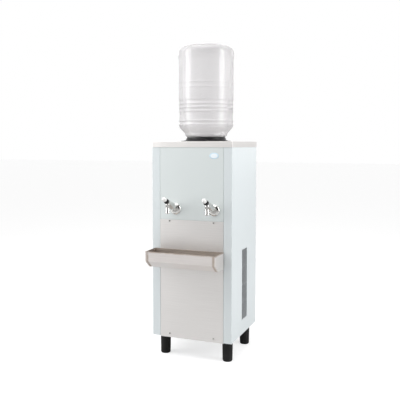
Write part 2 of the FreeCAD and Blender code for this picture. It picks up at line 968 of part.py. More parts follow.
def across_panel(shape, x):
    """Puts a shape made along +Z on the tap's level axis, pointing out of the panel."""
    return facing(shape, V(0, -1, 0)).translated(V(x, front_y, tap_z))


def tap_flange(x):
    hole = shank_radius + shank_fit
    disc = turned([
        (hole, 0, 0),
        (flange_radius, 0, 0),
        (flange_radius, flange_edge, flange_round),
        (flange_crown_radius, flange_dome, flange_crown_round),
        (hole, flange_dome, 0),
    ])
    return across_panel(disc, x)


def tap_body(x):
    """Chrome casting: level shank and tail, tilted bell and upright spout, all bored through."""
    bell = on_tap_axis(turned([
        (0, bell_start, 0),
        (bell_back_radius, bell_start, bell_back_round),
        (bell_radius, bell_shoulder, bell_round),
        (bell_front_radius, bell_front, bell_front_edge),
        (0, bell_front, 0),
    ]), x)
    shank = across_panel(Part.makeCylinder(shank_radius, shank_length), x)
    tail = across_panel(Part.makeCylinder(tail_radius, tail_length, V(0, 0, -tail_length)), x)
    barb = across_panel(Part.makeCylinder(barb_radius, barb_length, V(0, 0, -tail_length - barb_length)), x)
    spout_z = tap_z - spout_drop
    spout_y = front_y - spout_reach
    axis_z = tap_z + spout_reach * math.tan(tilt)
    spout = turned([
        (0, spout_z, 0),
        (spout_radius, spout_z, spout_rim),
        (spout_top_radius, axis_z, 0),
        (0, axis_z, 0),
    ]).translated(V(x, spout_y, 0))
    body = bell.multiFuse([shank, tail, barb, spout])
    chamber = on_tap_axis(Part.makeCylinder(chamber_radius, bell_front - chamber_start + 1,
                                            V(0, 0, chamber_start)), x)
    inlet_back = tail_length + barb_length + 1
    inlet = across_panel(Part.makeCylinder(tail_bore, inlet_back + inlet_reach, V(0, 0, -inlet_back)), x)
    outlet = Part.makeCylinder(spout_bore, axis_z - spout_z + 1, V(x, spout_y, spout_z - 1))
    return body.cut(chamber).cut(inlet).cut(outlet).removeSplitter()


def tap_cartridge(x):
    """Black bonnet with the valve barrel behind it: seat at its inner end, a port over the spout."""
    barrel = chamber_radius - cartridge_fit
    bore_end = bonnet_front - bonnet_wall
    stem_hole = stem_radius + stem_fit
    body = turned([
        (seat_bore, cartridge_start, 0),
        (barrel, cartridge_start, 0),
        (barrel, bell_front, 0),
        (bonnet_radius, bell_front, 0),
        (bonnet_radius, bonnet_front, bonnet_edge),
        (stem_hole, bonnet_front, 0),
        (stem_hole, bore_end, 0),
        (cartridge_bore, bore_end, 0),
        (cartridge_bore, cartridge_start + cartridge_seat, 0),
        (seat_bore, cartridge_start + cartridge_seat, 0),
    ])
    port_place = spout_reach / math.cos(tilt)
    port = Part.makeCylinder(spout_bore - port_step, 2 * chamber_radius, V(0, 0, 0), V(0, -1, 0))
    return on_tap_axis(body.cut(port.translated(V(0, 0, port_place))), x)


def tap_stem(x):
    socket_end = button_back + button_socket
    stem = turned([
        (0, stem_tip, 0),
        (stem_tip_radius, stem_tip, stem_tip_edge),
        (stem_tip_radius, cartridge_start - washer_gap - washer_thickness, 0),
        (stem_radius, cartridge_start - washer_gap - washer_thickness, 0),
        (stem_radius, stem_collar_place, 0),
        (stem_collar_radius, stem_collar_place, 0),
        (stem_collar_radius, stem_collar_place + stem_collar_length, 0),
        (stem_radius, stem_collar_place + stem_collar_length, 0),
        (stem_radius, socket_end, 0),
        (0, socket_end, 0),
    ])
    return on_tap_axis(stem, x)


def tap_washer(x):
    high = cartridge_start - washer_gap
    return on_tap_axis(ring(washer_radius, stem_radius, high - washer_thickness, high), x)


def tap_spring(x):
    low = cartridge_start + cartridge_seat + spring_gap
    return on_tap_axis(ring(spring_outer, spring_inner, low, stem_collar_place - spring_gap), x)


def push_button(x):
    """White domed button with a blind socket for the stem."""
    cylinder = turned([
        (0, button_back, 0),
        (button_radius, button_back, button_back_edge),
        (button_radius, button_front, 0),
        (0, button_front, 0),
    ])
    ball = Part.makeSphere(button_dome_radius, V(0, 0, dome_centre))
    tail = Part.makeCylinder(button_dome_radius, button_length, V(0, 0, dome_centre - button_length))
    socket = Part.makeCylinder(stem_radius, button_socket + 1, V(0, 0, button_back - 1))
    button = cylinder.common(ball.fuse(tail)).cut(socket)
    return on_tap_axis(button, x)


def tap_nuts():
    low = -sheet - nut_thickness
    nut = hexagon(nut_flats, low, -sheet).cut(
        Part.makeCylinder(tail_radius + nut_fit, nut_thickness + 2, V(0, 0, low - 1)))
    return Part.makeCompound([across_panel(nut, x) for x in tap_places.values()])


def hose_points(side):
    x = tap_places[side]
    outlet_x = outlet_places[side]
    return [V(x, front_y + hose_start, tap_z),
            V(x, front_y + hose_start + hose_run, tap_z),
            V(outlet_x, outlet_y, tap_z),
            V(outlet_x, outlet_y, shelf_bottom - hose_end_gap)]


def tap_hose(side):
    return hollow_tube(hose_points(side), hose_radius, barb_radius + hose_fit)


# ---------------------------------------------------------------- drip tray
def tray_section(inset):
    """Corners of the trough seen from its end, as (distance in front of the panel, height)."""
    out = tray_depth - inset
    low = tray_low + inset
    slope = math.atan2(tray_chamfer_down, tray_chamfer_back)
    shift = inset * math.tan(slope / 2)
    face_shift = inset * math.tan((math.pi / 2 - slope) / 2)
    rounding = max(tray_bend - inset, least_bend)
    return [
        (tray_back_gap + inset, tray_rim + (inset > 0), 0),
        (out, tray_rim + (inset > 0), 0),
        (out, tray_rim - tray_face + face_shift, rounding),
        (tray_depth - tray_chamfer_back - shift, low, rounding),
        (tray_back_gap + inset, low, 0),
    ]


def along_x(corners, x0, x1):
    """Extrudes (distance in front of the panel, height, rounding) corners from x0 to x1."""
    face = outline(corners, lambda a, b: V(x0, front_y - a, b))
    return face.extrude(V(x1 - x0, 0, 0))


def rail_ends():
    return tray_start + rail_end_inset, tray_end - rail_end_inset


def drip_tray():
    """Folded stainless trough with a hook along its back that hangs on the rail."""
    x0 = tray_start
    x1 = tray_end
    trough = along_x(tray_section(0), x0, x1).cut(along_x(tray_section(sheet), x0 + sheet, x1 - sheet))
    hook = along_x([
        (tray_back_gap, tray_rim, 0),
        (hook_gap, tray_rim, edge_bend),
        (hook_gap, tray_rim - hook_drop, 0),
        (hook_gap + sheet, tray_rim - hook_drop, 0),
        (hook_gap + sheet, tray_rim - sheet, 0),
        (tray_back_gap, tray_rim - sheet, 0),
    ], x0, x1)
    rail_x0, rail_x1 = rail_ends()
    heels = [tray_heel(x0, rail_x0 - heel_rail_gap), tray_heel(rail_x1 + heel_rail_gap, x1)]
    return trough.multiFuse([hook] + heels).removeSplitter()


def tray_heel(x0, x1):
    """Tab behind the trough's foot that rests on the panel beside the rail."""
    return along_x([
        (tray_back_gap, tray_low, 0),
        (heel_gap, tray_low, 0),
        (heel_gap, tray_low + heel_height, 0),
        (heel_gap + sheet, tray_low + heel_height, 0),
        (heel_gap + sheet, tray_low + sheet, 0),
        (tray_back_gap, tray_low + sheet, 0),
    ], x0, x1)


def tray_rail():
    """Channel on the lower panel whose front lip carries the tray's hook."""
    x0, x1 = rail_ends()
    web = tray_rim - rail_channel_drop
    lip_top = tray_rim - sheet - rail_seat_gap
    return along_x([
        (0, tray_rim - rail_drop, 0),
        (sheet, tray_rim - rail_drop, 0),
        (sheet, web - sheet, 0),
        (rail_channel, web - sheet, edge_bend),
        (rail_channel, lip_top, 0),
        (rail_channel - sheet, lip_top, 0),
        (rail_channel - sheet, web, 0),
        (0, web, 0),
    ], x0, x1)


# ---------------------------------------------------------------- compressor
def compressor():
    """Welded two-part shell on its foot plate."""
    shell = turned([
        (0, 0, 0),
        (compressor_radius, 0, compressor_round),
        (compressor_radius, compressor_height, compressor_round),
        (0, compressor_height, 0),
    ])
    seam = ring(seam_radius, compressor_radius - 2, seam_rise, seam_rise + seam_thickness)
    body = moved(shell.fuse(seam), compressor_x, compressor_y, shell_z)
    plate = block(compressor_x - foot_plate_width / 2, compressor_x + foot_plate_width / 2,
                  compressor_y - foot_plate_depth / 2, compressor_y + foot_plate_depth / 2,
                  shell_z - foot_plate_sheet, shell_z)
    return body.fuse(plate).removeSplitter()


def compressor_mounts():
    mounts = []
    for sx in (-1, 1):
        for sy in (-1, 1):
            x = compressor_x + sx * (foot_plate_width / 2 - mount_inset)
            y = compressor_y + sy * (foot_plate_depth / 2 - mount_inset)
            mounts.append(Part.makeCylinder(mount_radius, mount_height, V(x, y, pan_top)))
    return Part.makeCompound(mounts)


def terminal_cover():
    z0 = shell_z + terminal_rise
    out = compressor_y - compressor_radius - terminal_depth / 2
    case = block(compressor_x - terminal_width / 2, compressor_x + terminal_width / 2,
                 out, out + terminal_depth, z0, z0 + terminal_height)
    front = [edge for edge in case.Edges if edge.BoundBox.YMax < out + 0.01]
    case = case.makeFillet(terminal_edge, front)
    shell = Part.makeCylinder(seam_radius + line_fit, terminal_height + 2,
                              V(compressor_x, compressor_y, z0 - 1))
    return case.cut(shell)


# ---------------------------------------------------------------- condenser and fan
def tube_heights():
    return [tube_top - k * tube_pitch for k in range(tube_passes)]


def condenser_core():
    """Fins held between two end plates that stand on the base pan."""
    y0 = vent_y - core_width / 2
    y1 = vent_y + core_width / 2
    x0 = core_front_x
    x1 = core_front_x + core_depth
    top = core_z + core_height
    parts = [
        block(x0, x1, y0, y0 + core_sheet, pan_top, top),
        block(x0, x1, y1 - core_sheet, y1, pan_top, top),
        block(x0, x1, y0, y1, top - core_sheet, top),
        block(x0, x1, y0, y1, core_z, core_z + core_sheet),
        block(x0, x1, y0, y0 + core_foot, pan_top, pan_top + core_sheet),
        block(x0, x1, y1 - core_foot, y1, pan_top, pan_top + core_sheet),
    ]
    pitch = core_width / (fin_count + 1)
    for k in range(1, fin_count + 1):
        y = y0 + k * pitch
        parts.append(block(x0, x1, y - fin_thickness / 2, y + fin_thickness / 2, core_z, top))
    core = parts[0].multiFuse(parts[1:]).removeSplitter()
    holes = [rod(tube_radius + tube_fit, V(core_x, y0 - 1, z), V(core_x, y1 + 1, z)) for z in tube_heights()]
    return core.cut(Part.makeCompound(holes))


def condenser_tube():
    """One serpentine tube: passes along Y joined by round bends, then down to the drier."""
    near = vent_y - core_width / 2
    far = vent_y + core_width / 2
    bend_radius = tube_pitch / 2
    edges = []
    y_from = tube_end_y
    for number, z in enumerate(tube_heights()):
        y_to = near if number % 2 == 0 else far
        if number == tube_passes - 1:
            break
        edges.append(Part.LineSegment(V(core_x, y_from, z), V(core_x, y_to, z)).toShape())
        outward = -bend_radius if number % 2 == 0 else bend_radius
        edges.append(Part.Arc(V(core_x, y_to, z), V(core_x, y_to + outward, z - bend_radius),
                              V(core_x, y_to, z - tube_pitch)).toShape())
        y_from = y_to
    last = route([V(core_x, y_from, tube_low), V(core_x, mid_y + drier_back, tube_low),
                  V(core_x, mid_y + drier_back, tube_low - drier_drop)])
    path = Part.Wire(edges + last.Edges)
    section = Part.Wire(Part.makeCircle(tube_radius, V(core_x, tube_end_y, tube_top), V(0, -1, 0)))
    return path.makePipeShell([section], True, False)


def filter_drier():
    top = tube_low - drier_drop
    low = top - drier_length
    body = turned([
        (0, low, 0),
        (tube_radius, low, 0),
        (drier_radius, low + drier_cone, drier_round),
        (drier_radius, top - drier_cone, drier_round),
        (tube_radius, top, 0),
        (0, top, 0),
    ])
    return moved(body, core_x, mid_y + drier_back, 0)


def fan_shroud():
    """Plate on the condenser with a round throat and four arms that hold the motor."""
    y0 = vent_y - core_width / 2
    y1 = vent_y + core_width / 2
    plate_x = core_front_x - shroud_sheet
    plate = block(plate_x, core_front_x, y0, y1, core_z, core_z + core_height)
    throat_x = core_front_x - shroud_depth
    centre = V(throat_x, vent_y, fan_z)
    along = V(1, 0, 0)
    outer = Part.makeCylinder(shroud_radius + shroud_sheet, shroud_depth, centre, along)
    inner = Part.makeCylinder(shroud_radius, shroud_depth + 2, centre - along, along)
    arms = []
    for angle in (0, 90):
        arm = block(throat_x - spider_sheet, throat_x, -shroud_radius - shroud_sheet,
                    shroud_radius + shroud_sheet, -spider_width / 2, spider_width / 2)
        arm.rotate(V(0, 0, 0), V(1, 0, 0), angle)
        arms.append(arm.translated(V(0, vent_y, fan_z)))
    start = centre - along * spider_sheet
    arms.append(Part.makeCylinder(spider_boss, spider_sheet, start, along))
    throat = plate.fuse(outer).cut(inner)
    shroud = throat.multiFuse(arms)
    shaft_hole = Part.makeCylinder(shaft_radius + shaft_fit, spider_sheet + 2, start - along, along)
    return shroud.cut(shaft_hole).removeSplitter()


def fan_motor():
    face_x = core_front_x - shroud_depth - spider_sheet
    body = turned([
        (0, 0, 0),
        (motor_radius, 0, motor_edge),
        (motor_radius, motor_length, motor_round),
        (0, motor_length, 0),
    ])
    motor = facing(body, V(-1, 0, 0)).translated(V(face_x, vent_y, fan_z))
    hole_start = V(face_x - shaft_in_motor - 1, vent_y, fan_z)
    return motor.cut(rod(shaft_radius + shaft_fit, hole_start, V(face_x + 1, vent_y, fan_z)))


def fan_blade():
    """Moulded fan: hub, pitched blades and the steel shaft that turns with it."""
    face_x = core_front_x - shroud_depth - spider_sheet
    hub_x = core_front_x - shroud_depth + hub_gap
    middle = hub_x + hub_length / 2
    hub = turned([(0, 0, 0), (hub_radius, 0, motor_edge), (hub_radius, hub_length, hub_round), (0, hub_length, 0)])
    hub = facing(hub, V(1, 0, 0)).translated(V(hub_x, 0, 0))
    shaft = rod(shaft_radius, V(face_x - shaft_in_motor, 0, 0), V(middle, 0, 0))
    band = rod(blade_radius, V(hub_x, 0, 0), V(hub_x + hub_length, 0, 0))
    blades = []
    for k in range(blade_count):
        blade = block(middle - blade_thickness / 2, middle + blade_thickness / 2,
                      -blade_chord / 2, blade_chord / 2, hub_radius - 3, blade_radius + 5)
        blade.rotate(V(middle, 0, 0), V(0, 0, 1), blade_pitch)
        blade = blade.common(band)
        blade.rotate(V(0, 0, 0), V(1, 0, 0), 360 / blade_count * k)
        blades.append(blade)
    fan = hub.multiFuse(blades + [shaft]).removeSplitter()
    return moved(fan, 0, vent_y, fan_z)


# ---------------------------------------------------------------- refrigerant lines
def discharge_points():
    """From the compressor's right side to the condenser's top tube."""
    start_x = compressor_x + compressor_radius
    z = shell_z + seam_rise + discharge_port_over
    lift_x = start_x + discharge_run
    y = mid_y + discharge_back
    return [V(start_x - port_overlap, compressor_y, z), V(lift_x, compressor_y, z),
            V(lift_x, y, z + discharge_climb), V(lift_x, y, tube_top), V(core_x, y, tube_top),
            V(core_x, tube_end_y, tube_top)]


def jacket_entry(x, radius):
    """Just behind the jacket, where a tube of that radius meets it at x."""
    nearest = abs(x) - radius
    return mid_y + math.sqrt(jacket_radius ** 2 - nearest ** 2) + line_fit


def suction_points():
    """From the jacket out through the foam and down to the compressor's back."""
    z = jacket_z + suction_entry_over
    y = mid_y + line_back
    low = shell_z + seam_rise + suction_port_over
    return [V(suction_entry_x, jacket_entry(suction_entry_x, tube_radius), z), V(suction_entry_x, y, z),
            V(suction_entry_x, y, low + suction_fall), V(compressor_x, y, low),
            V(compressor_x, compressor_y + compressor_radius - port_overlap, low)]


def discharge_line():
    return tube(discharge_points(), tube_radius).cut(compressor())


def suction_line():
    return tube(suction_points(), tube_radius).cut(compressor())


def capillary_tube():
    """Thin tube from the drier's foot up behind the foam and into the jacket."""
    low = tube_low - drier_drop - drier_length
    z = jacket_z + capillary_entry_over
    y = mid_y + line_back
    lift_x = core_x - capillary_offset
    points = [V(core_x, mid_y + drier_back, low), V(core_x, mid_y + drier_back, low - capillary_dip),
              V(lift_x, y, low - capillary_dip), V(lift_x, y, z - capillary_fall), V(capillary_entry_x, y, z),
              V(capillary_entry_x, jacket_entry(capillary_entry_x, capillary_radius), z)]
    return tube(points, capillary_radius)


# ---------------------------------------------------------------- thermostat and cable gland
def thermostat():
    """Control box behind the back panel, with a bushing through it for the knob's spindle."""
    z = base_z + thermostat_rise
    wall_y = back_y - sheet
    case = block(thermostat_x - thermostat_width / 2, thermostat_x + thermostat_width / 2,
                 wall_y - thermostat_depth, wall_y, z - thermostat_height / 2, z + thermostat_height / 2)
    bushing = rod(bushing_radius, V(thermostat_x, wall_y - 1, z), V(thermostat_x, back_y + bushing_out - 2, z))
    bore = rod(knob_spindle + knob_spindle_fit, V(thermostat_x, wall_y - knob_spindle_reach, z),
               V(thermostat_x, back_y + bushing_out, z))
    return case.fuse(bushing).cut(bore)


def thermostat_knob():
    z = base_z + thermostat_rise
    knob = turned([
        (0, knob_gap, 0),
        (knob_radius, knob_gap, 0),
        (knob_radius, back_reach, knob_edge),
        (0, back_reach, 0),
    ])
    pointer = block(-knob_pointer_width / 2, knob_pointer_width / 2, knob_radius / 4, knob_radius + 1,
                    back_reach - knob_pointer_depth, back_reach + 1)
    spindle = Part.makeCylinder(knob_spindle, knob_spindle_reach, V(0, 0, knob_gap + 1 - knob_spindle_reach))
    shape = knob.cut(pointer).fuse(spindle).removeSplitter()
    return facing(shape, V(0, 1, 0)).translated(V(thermostat_x, back_y, z))


def cable_gland():
    """Gland for the supply cable, with its locknut inside the back panel."""
    nut = hexagon(gland_flats, 0, gland_nut)
    cap = turned([
        (0, gland_nut, 0),
        (gland_cap_radius, gland_nut, 0),
        (gland_cap_radius, gland_cap, gland_cap_round),
        (0, gland_cap, 0),
    ])
    thread = Part.makeCylinder(gland_thread, gland_inner + sheet, V(0, 0, -gland_inner - sheet))
    locknut = hexagon(gland_flats, -sheet - gland_nut, -sheet)
    bore = Part.makeCylinder(gland_bore, gland_cap + gland_inner + 4, V(0, 0, -gland_inner - 2))
    body = nut.multiFuse([cap, thread, locknut]).cut(bore).removeSplitter()
    return facing(body, V(0, 1, 0)).translated(V(gland_x, back_y, base_z + gland_rise))


# ---------------------------------------------------------------- write every piece
os.makedirs("parts", exist_ok=True)

save("base_pan", base_pan())
for name, place in leg_places().items():
    save("leg_" + name, leg(place))
save("leg_bolts", leg_bolts())
save("side_panel_left", side_panel(-1))
save("side_panel_right", side_panel(1))
save("vent_grille_left", vent_grille(-1))
save("vent_grille_right", vent_grille(1))
save("upper_front_panel", upper_front_panel())
save("lower_front_panel", lower_front_panel())
save("front_panel_screws", screws_at(front_screw_places(), V(0, -1, 0)))
save("back_panel", back_panel())
save("back_panel_screws", screws_at(back_screw_places(), V(0, 1, 0)))
save("top_cover", top_cover())
save("badge_plate", badge_plate())
save("bottle_collar", bottle_collar())
save("water_bottle", water_bottle())
save("water_tank", water_tank())
save("tank_gasket", tank_gasket())
save("tank_baffle", tank_baffle())
save("evaporator_jacket", evaporator_jacket())
save("insulation_front", insulation("front"))
save("insulation_back", insulation("back"))
save("tank_shelf", tank_shelf())
for side, x in tap_places.items():
    save("tap_flange_" + side, tap_flange(x))
    save("tap_body_" + side, tap_body(x))
    save("tap_cartridge_" + side, tap_cartridge(x))
    save("tap_stem_" + side, tap_stem(x))
    save("tap_washer_" + side, tap_washer(x))
    save("tap_spring_" + side, tap_spring(x))
    save("push_button_" + side, push_button(x))
    save("tap_hose_" + side, tap_hose(side))
save("tap_nuts", tap_nuts())
save("drip_tray", drip_tray())
save("tray_rail", tray_rail())
save("compressor", compressor())
save("compressor_mounts", compressor_mounts())
save("terminal_cover", terminal_cover())
save("condenser_core", condenser_core())
save("condenser_tube", condenser_tube())
save("filter_drier", filter_drier())
save("fan_shroud", fan_shroud())
save("fan_motor", fan_motor())
save("fan_blade", fan_blade())
save("discharge_line", discharge_line())
save("suction_line", suction_line())
save("capillary_tube", capillary_tube())
save("thermostat", thermostat())
save("thermostat_knob", thermostat_knob())
save("cable_gland", cable_gland())
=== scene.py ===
import bpy
import bmesh
import math
from mathutils import Matrix, Vector


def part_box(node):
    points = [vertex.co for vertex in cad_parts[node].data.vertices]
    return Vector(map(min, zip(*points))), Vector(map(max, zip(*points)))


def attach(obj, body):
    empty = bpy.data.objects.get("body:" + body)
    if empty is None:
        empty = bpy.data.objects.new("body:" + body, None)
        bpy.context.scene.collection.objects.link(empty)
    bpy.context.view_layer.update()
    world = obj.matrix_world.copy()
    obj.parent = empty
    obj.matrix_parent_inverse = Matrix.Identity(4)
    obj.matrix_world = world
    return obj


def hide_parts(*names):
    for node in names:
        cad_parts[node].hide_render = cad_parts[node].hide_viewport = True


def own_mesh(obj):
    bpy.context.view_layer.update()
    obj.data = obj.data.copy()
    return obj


# A top-loading water cooler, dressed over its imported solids. Metres, on the same frame as the solids:
# the floor is at zero, the taps face -Y and +X is on the right of someone facing them.

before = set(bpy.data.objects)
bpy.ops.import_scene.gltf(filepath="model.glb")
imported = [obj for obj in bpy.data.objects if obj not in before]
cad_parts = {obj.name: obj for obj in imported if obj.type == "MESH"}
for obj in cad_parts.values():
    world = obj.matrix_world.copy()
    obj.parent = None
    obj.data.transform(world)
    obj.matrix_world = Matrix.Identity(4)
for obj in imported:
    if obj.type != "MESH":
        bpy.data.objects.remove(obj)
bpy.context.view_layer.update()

# ---------------------------------------------------------------- painted cabinet sheets
# Side walls folded round into the front strips, and the upper front panel with its backing strip.
# Cold rolled sheet with a pale blue-grey powder coat, baked on before the sheets are folded together.


def blank_finish(name, colour, roughness, metallic=0.0):
    """New material with a Principled shader, and its object coordinates."""
    material = bpy.data.materials.new(name)
    material.use_nodes = True
    nodes = material.node_tree.nodes
    shader = nodes["Principled BSDF"]
    shader.inputs["Base Color"].default_value = (*colour, 1.0)
    shader.inputs["Roughness"].default_value = roughness
    shader.inputs["Metallic"].default_value = metallic
    place = nodes.new("ShaderNodeTexCoord").outputs["Object"]
    return material, shader, place


def wire(material, start, end):
    material.node_tree.links.new(start, end)


def effect_group(name, numbers, outputs):
    """Empty node group: a Place vector and named numbers in, named values and colours out."""
    group = bpy.data.node_groups.new(name, "ShaderNodeTree")
    group.interface.new_socket("Place", in_out="INPUT", socket_type="NodeSocketVector")
    for label, value in numbers.items():
        socket = group.interface.new_socket(label, in_out="INPUT", socket_type="NodeSocketFloat")
        socket.default_value = value
    for label, kind in outputs.items():
        group.interface.new_socket(label, in_out="OUTPUT", socket_type=kind)
    return group, group.nodes.new("NodeGroupInput"), group.nodes.new("NodeGroupOutput")


def place_group(material, group, place, **numbers):
    node = material.node_tree.nodes.new("ShaderNodeGroup")
    node.node_tree = group
    wire(material, place, node.inputs["Place"])
    for label, value in numbers.items():
        node.inputs[label].default_value = value
    return node


def new_node(tree, kind, **settings):
    node = tree.nodes.new(kind)
    for label, value in settings.items():
        setattr(node, label, value)
    return node


def cloudy_group():
    """Slow cloudy mask from 0 to 1, for smears, dust and uneven tone."""
    group, given, made = effect_group("cloudy", {"Scale": 4.0, "Low": 0.35, "High": 0.65},
                                      {"Mask": "NodeSocketFloat"})
    noise = new_node(group, "ShaderNodeTexNoise")
    noise.inputs["Detail"].default_value = 3.0
    spread = new_node(group, "ShaderNodeMapRange", interpolation_type="SMOOTHSTEP")
    group.links.new(given.outputs["Place"], noise.inputs["Vector"])
    group.links.new(given.outputs["Scale"], noise.inputs["Scale"])
    group.links.new(noise.outputs["Fac"], spread.inputs["Value"])
    group.links.new(given.outputs["Low"], spread.inputs["From Min"])
    group.links.new(given.outputs["High"], spread.inputs["From Max"])
    group.links.new(spread.outputs["Result"], made.inputs["Mask"])
    return group


cloudy = cloudy_group()


def between(material, mask, low, high):
    """Value that runs from low to high with the mask."""
    node = material.node_tree.nodes.new("ShaderNodeMapRange")
    node.inputs["To Min"].default_value = low
    node.inputs["To Max"].default_value = high
    wire(material, mask, node.inputs["Value"])
    return node.outputs["Result"]


def two_tones(material, mask, dark, light):
    """Colour that runs from dark to light with the mask."""
    node = material.node_tree.nodes.new("ShaderNodeMix")
    node.data_type = "RGBA"
    node.inputs[6].default_value = (*dark, 1.0)
    node.inputs[7].default_value = (*light, 1.0)
    wire(material, mask, node.inputs["Factor"])
    return node.outputs[2]


def clouded(name, dark, light, rough, cloud, metallic=0.0):
    """New material whose colour and roughness drift with a cloudy mask of that scale, start and end."""
    scale, start, end = cloud
    material, shader, place = blank_finish(name, light, rough[1], metallic)
    mask = place_group(material, cloudy, place, Scale=scale, Low=start, High=end).outputs["Mask"]
    wire(material, two_tones(material, mask, dark, light), shader.inputs["Base Color"])
    wire(material, between(material, mask, *rough), shader.inputs["Roughness"])
    return material, shader, place


def relief(material, shader, height, distance, strength=1.0):
    """Bump of that many metres on the shader."""
    node = material.node_tree.nodes.new("ShaderNodeBump")
    node.inputs["Distance"].default_value = distance
    node.inputs["Strength"].default_value = strength
    wire(material, height, node.inputs["Height"])
    wire(material, node.outputs["Normal"], shader.inputs["Normal"])


def grain_noise(material, place, scale, detail=2.0):
    noise = material.node_tree.nodes.new("ShaderNodeTexNoise")
    noise.inputs["Scale"].default_value = scale
    noise.inputs["Detail"].default_value = detail
    wire(material, place, noise.inputs["Vector"])
    return noise.outputs["Fac"]


def dress(material, *names):
    """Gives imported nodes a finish."""
    for name in names:
        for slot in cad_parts[name].material_slots:
            slot.material = material


def powder_coat(name, dark, light):
    material, shader, place = clouded(name, dark, light, (0.28, 0.36), (3.0, 0.1, 0.9))
    relief(material, shader, grain_noise(material, place, 500.0), 0.00002, 0.1)
    shader.inputs["Coat Weight"].default_value = 0.2
    shader.inputs["Coat Roughness"].default_value = 0.25
    return material


cabinet_paint = powder_coat("cabinet_paint", (0.645, 0.69, 0.705), (0.668, 0.715, 0.73))
dress(cabinet_paint, "side_panel_left", "side_panel_right")
panel_paint = powder_coat("panel_paint", (0.63, 0.672, 0.672), (0.66, 0.705, 0.702))
dress(panel_paint, "upper_front_panel")

# ---------------------------------------------------------------- stainless lower panel, lid and rail
# Brushed stainless sheet: the grain runs across the panel and the lid, as the sheet comes off the roll.
# The lid's lip is folded down all round, and the panel is held by four screws.


def brushed_group():
    """Fine brushed lines along X: an uneven shade, and a height for the bump."""
    group, given, made = effect_group("brushed", {"Length": 6.0, "Width": 900.0},
                                      {"Shade": "NodeSocketFloat", "Height": "NodeSocketFloat"})
    size = new_node(group, "ShaderNodeCombineXYZ")
    stretch = new_node(group, "ShaderNodeVectorMath", operation="MULTIPLY")
    lines = new_node(group, "ShaderNodeTexNoise")
    lines.inputs["Scale"].default_value = 1.0
    lines.inputs["Detail"].default_value = 3.0
    group.links.new(given.outputs["Length"], size.inputs["X"])
    group.links.new(given.outputs["Width"], size.inputs["Y"])
    group.links.new(given.outputs["Width"], size.inputs["Z"])
    group.links.new(given.outputs["Place"], stretch.inputs[0])
    group.links.new(size.outputs["Vector"], stretch.inputs[1])
    group.links.new(stretch.outputs["Vector"], lines.inputs["Vector"])
    spread = new_node(group, "ShaderNodeMapRange")
    spread.inputs["From Min"].default_value = 0.3
    spread.inputs["From Max"].default_value = 0.7
    group.links.new(lines.outputs["Fac"], spread.inputs["Value"])
    group.links.new(spread.outputs["Result"], made.inputs["Shade"])
    group.links.new(lines.outputs["Fac"], made.inputs["Height"])
    return group


brushed = brushed_group()


def brushed_steel(name, dark, light, rough_low, rough_high):
    material, shader, place = blank_finish(name, light, rough_high, 0.85)
    lines = place_group(material, brushed, place, Length=6.0, Width=900.0)
    wire(material, two_tones(material, lines.outputs["Shade"], dark, light), shader.inputs["Base Color"])
    smear = place_group(material, cloudy, place, Scale=6.0, Low=0.35, High=0.75).outputs["Mask"]
    wire(material, between(material, smear, rough_low, rough_high), shader.inputs["Roughness"])
    relief(material, shader, lines.outputs["Height"], 0.00002, 0.25)
    return material


stainless = brushed_steel("stainless_sheet", (0.78, 0.76, 0.745), (0.84, 0.82, 0.805), 0.38, 0.46)
dress(stainless, "lower_front_panel", "top_cover", "tray_rail")

screw_metal = clouded("screw_metal", (0.40, 0.39, 0.37), (0.58, 0.57, 0.55), (0.2, 0.4), (300.0, 0.3, 0.7),
                      metallic=1.0)[0]
dress(screw_metal, "front_panel_screws", "back_panel_screws", "leg_bolts")

# ---------------------------------------------------------------- galvanised sheet inside and behind
# Base pan, back panel, tank shelf and vent grilles: plain galvanised sheet, left unpainted where it is
# little seen, with a faint spangle of zinc crystals.

galvanised, zinc_shader, zinc_place = blank_finish("galvanised_sheet", (0.50, 0.52, 0.53), 0.45, 0.8)
spangle = new_node(galvanised.node_tree, "ShaderNodeTexVoronoi")
spangle.inputs["Scale"].default_value = 90.0
wire(galvanised, zinc_place, spangle.inputs["Vector"])
crystals = new_node(galvanised.node_tree, "ShaderNodeSeparateColor")
wire(galvanised, spangle.outputs["Color"], crystals.inputs["Color"])
zinc_tone = two_tones(galvanised, crystals.outputs["Red"], (0.58, 0.605, 0.625), (0.66, 0.685, 0.705))
wire(galvanised, zinc_tone, zinc_shader.inputs["Base Color"])
wire(galvanised, between(galvanised, crystals.outputs["Green"], 0.38, 0.52), zinc_shader.inputs["Roughness"])
dress(galvanised, "base_pan", "back_panel", "tank_shelf", "vent_grille_left", "vent_grille_right")

# ---------------------------------------------------------------- legs
# Four round moulded legs in black plastic, each on a bolt through the base pan. They narrow a little
# towards the floor, with a shallow groove near the top and another above the foot, and a fine grain.


def rounded(shape, geom, reach, segments, affect="EDGES"):
    """Rounds the edges, or the corners of an outline, back to that reach."""
    bmesh.ops.bevel(shape, geom=geom, offset=reach, offset_type="OFFSET", segments=segments, profile=0.5,
                    affect=affect, clamp_overlap=True, material=-1)


def faced(shape):
    """Points every face outward."""
    bmesh.ops.recalc_face_normals(shape, faces=shape.faces[:])
    return shape


def shifted(shape, x, y, z):
    bmesh.ops.translate(shape, verts=shape.verts[:], vec=(x, y, z))
    return shape


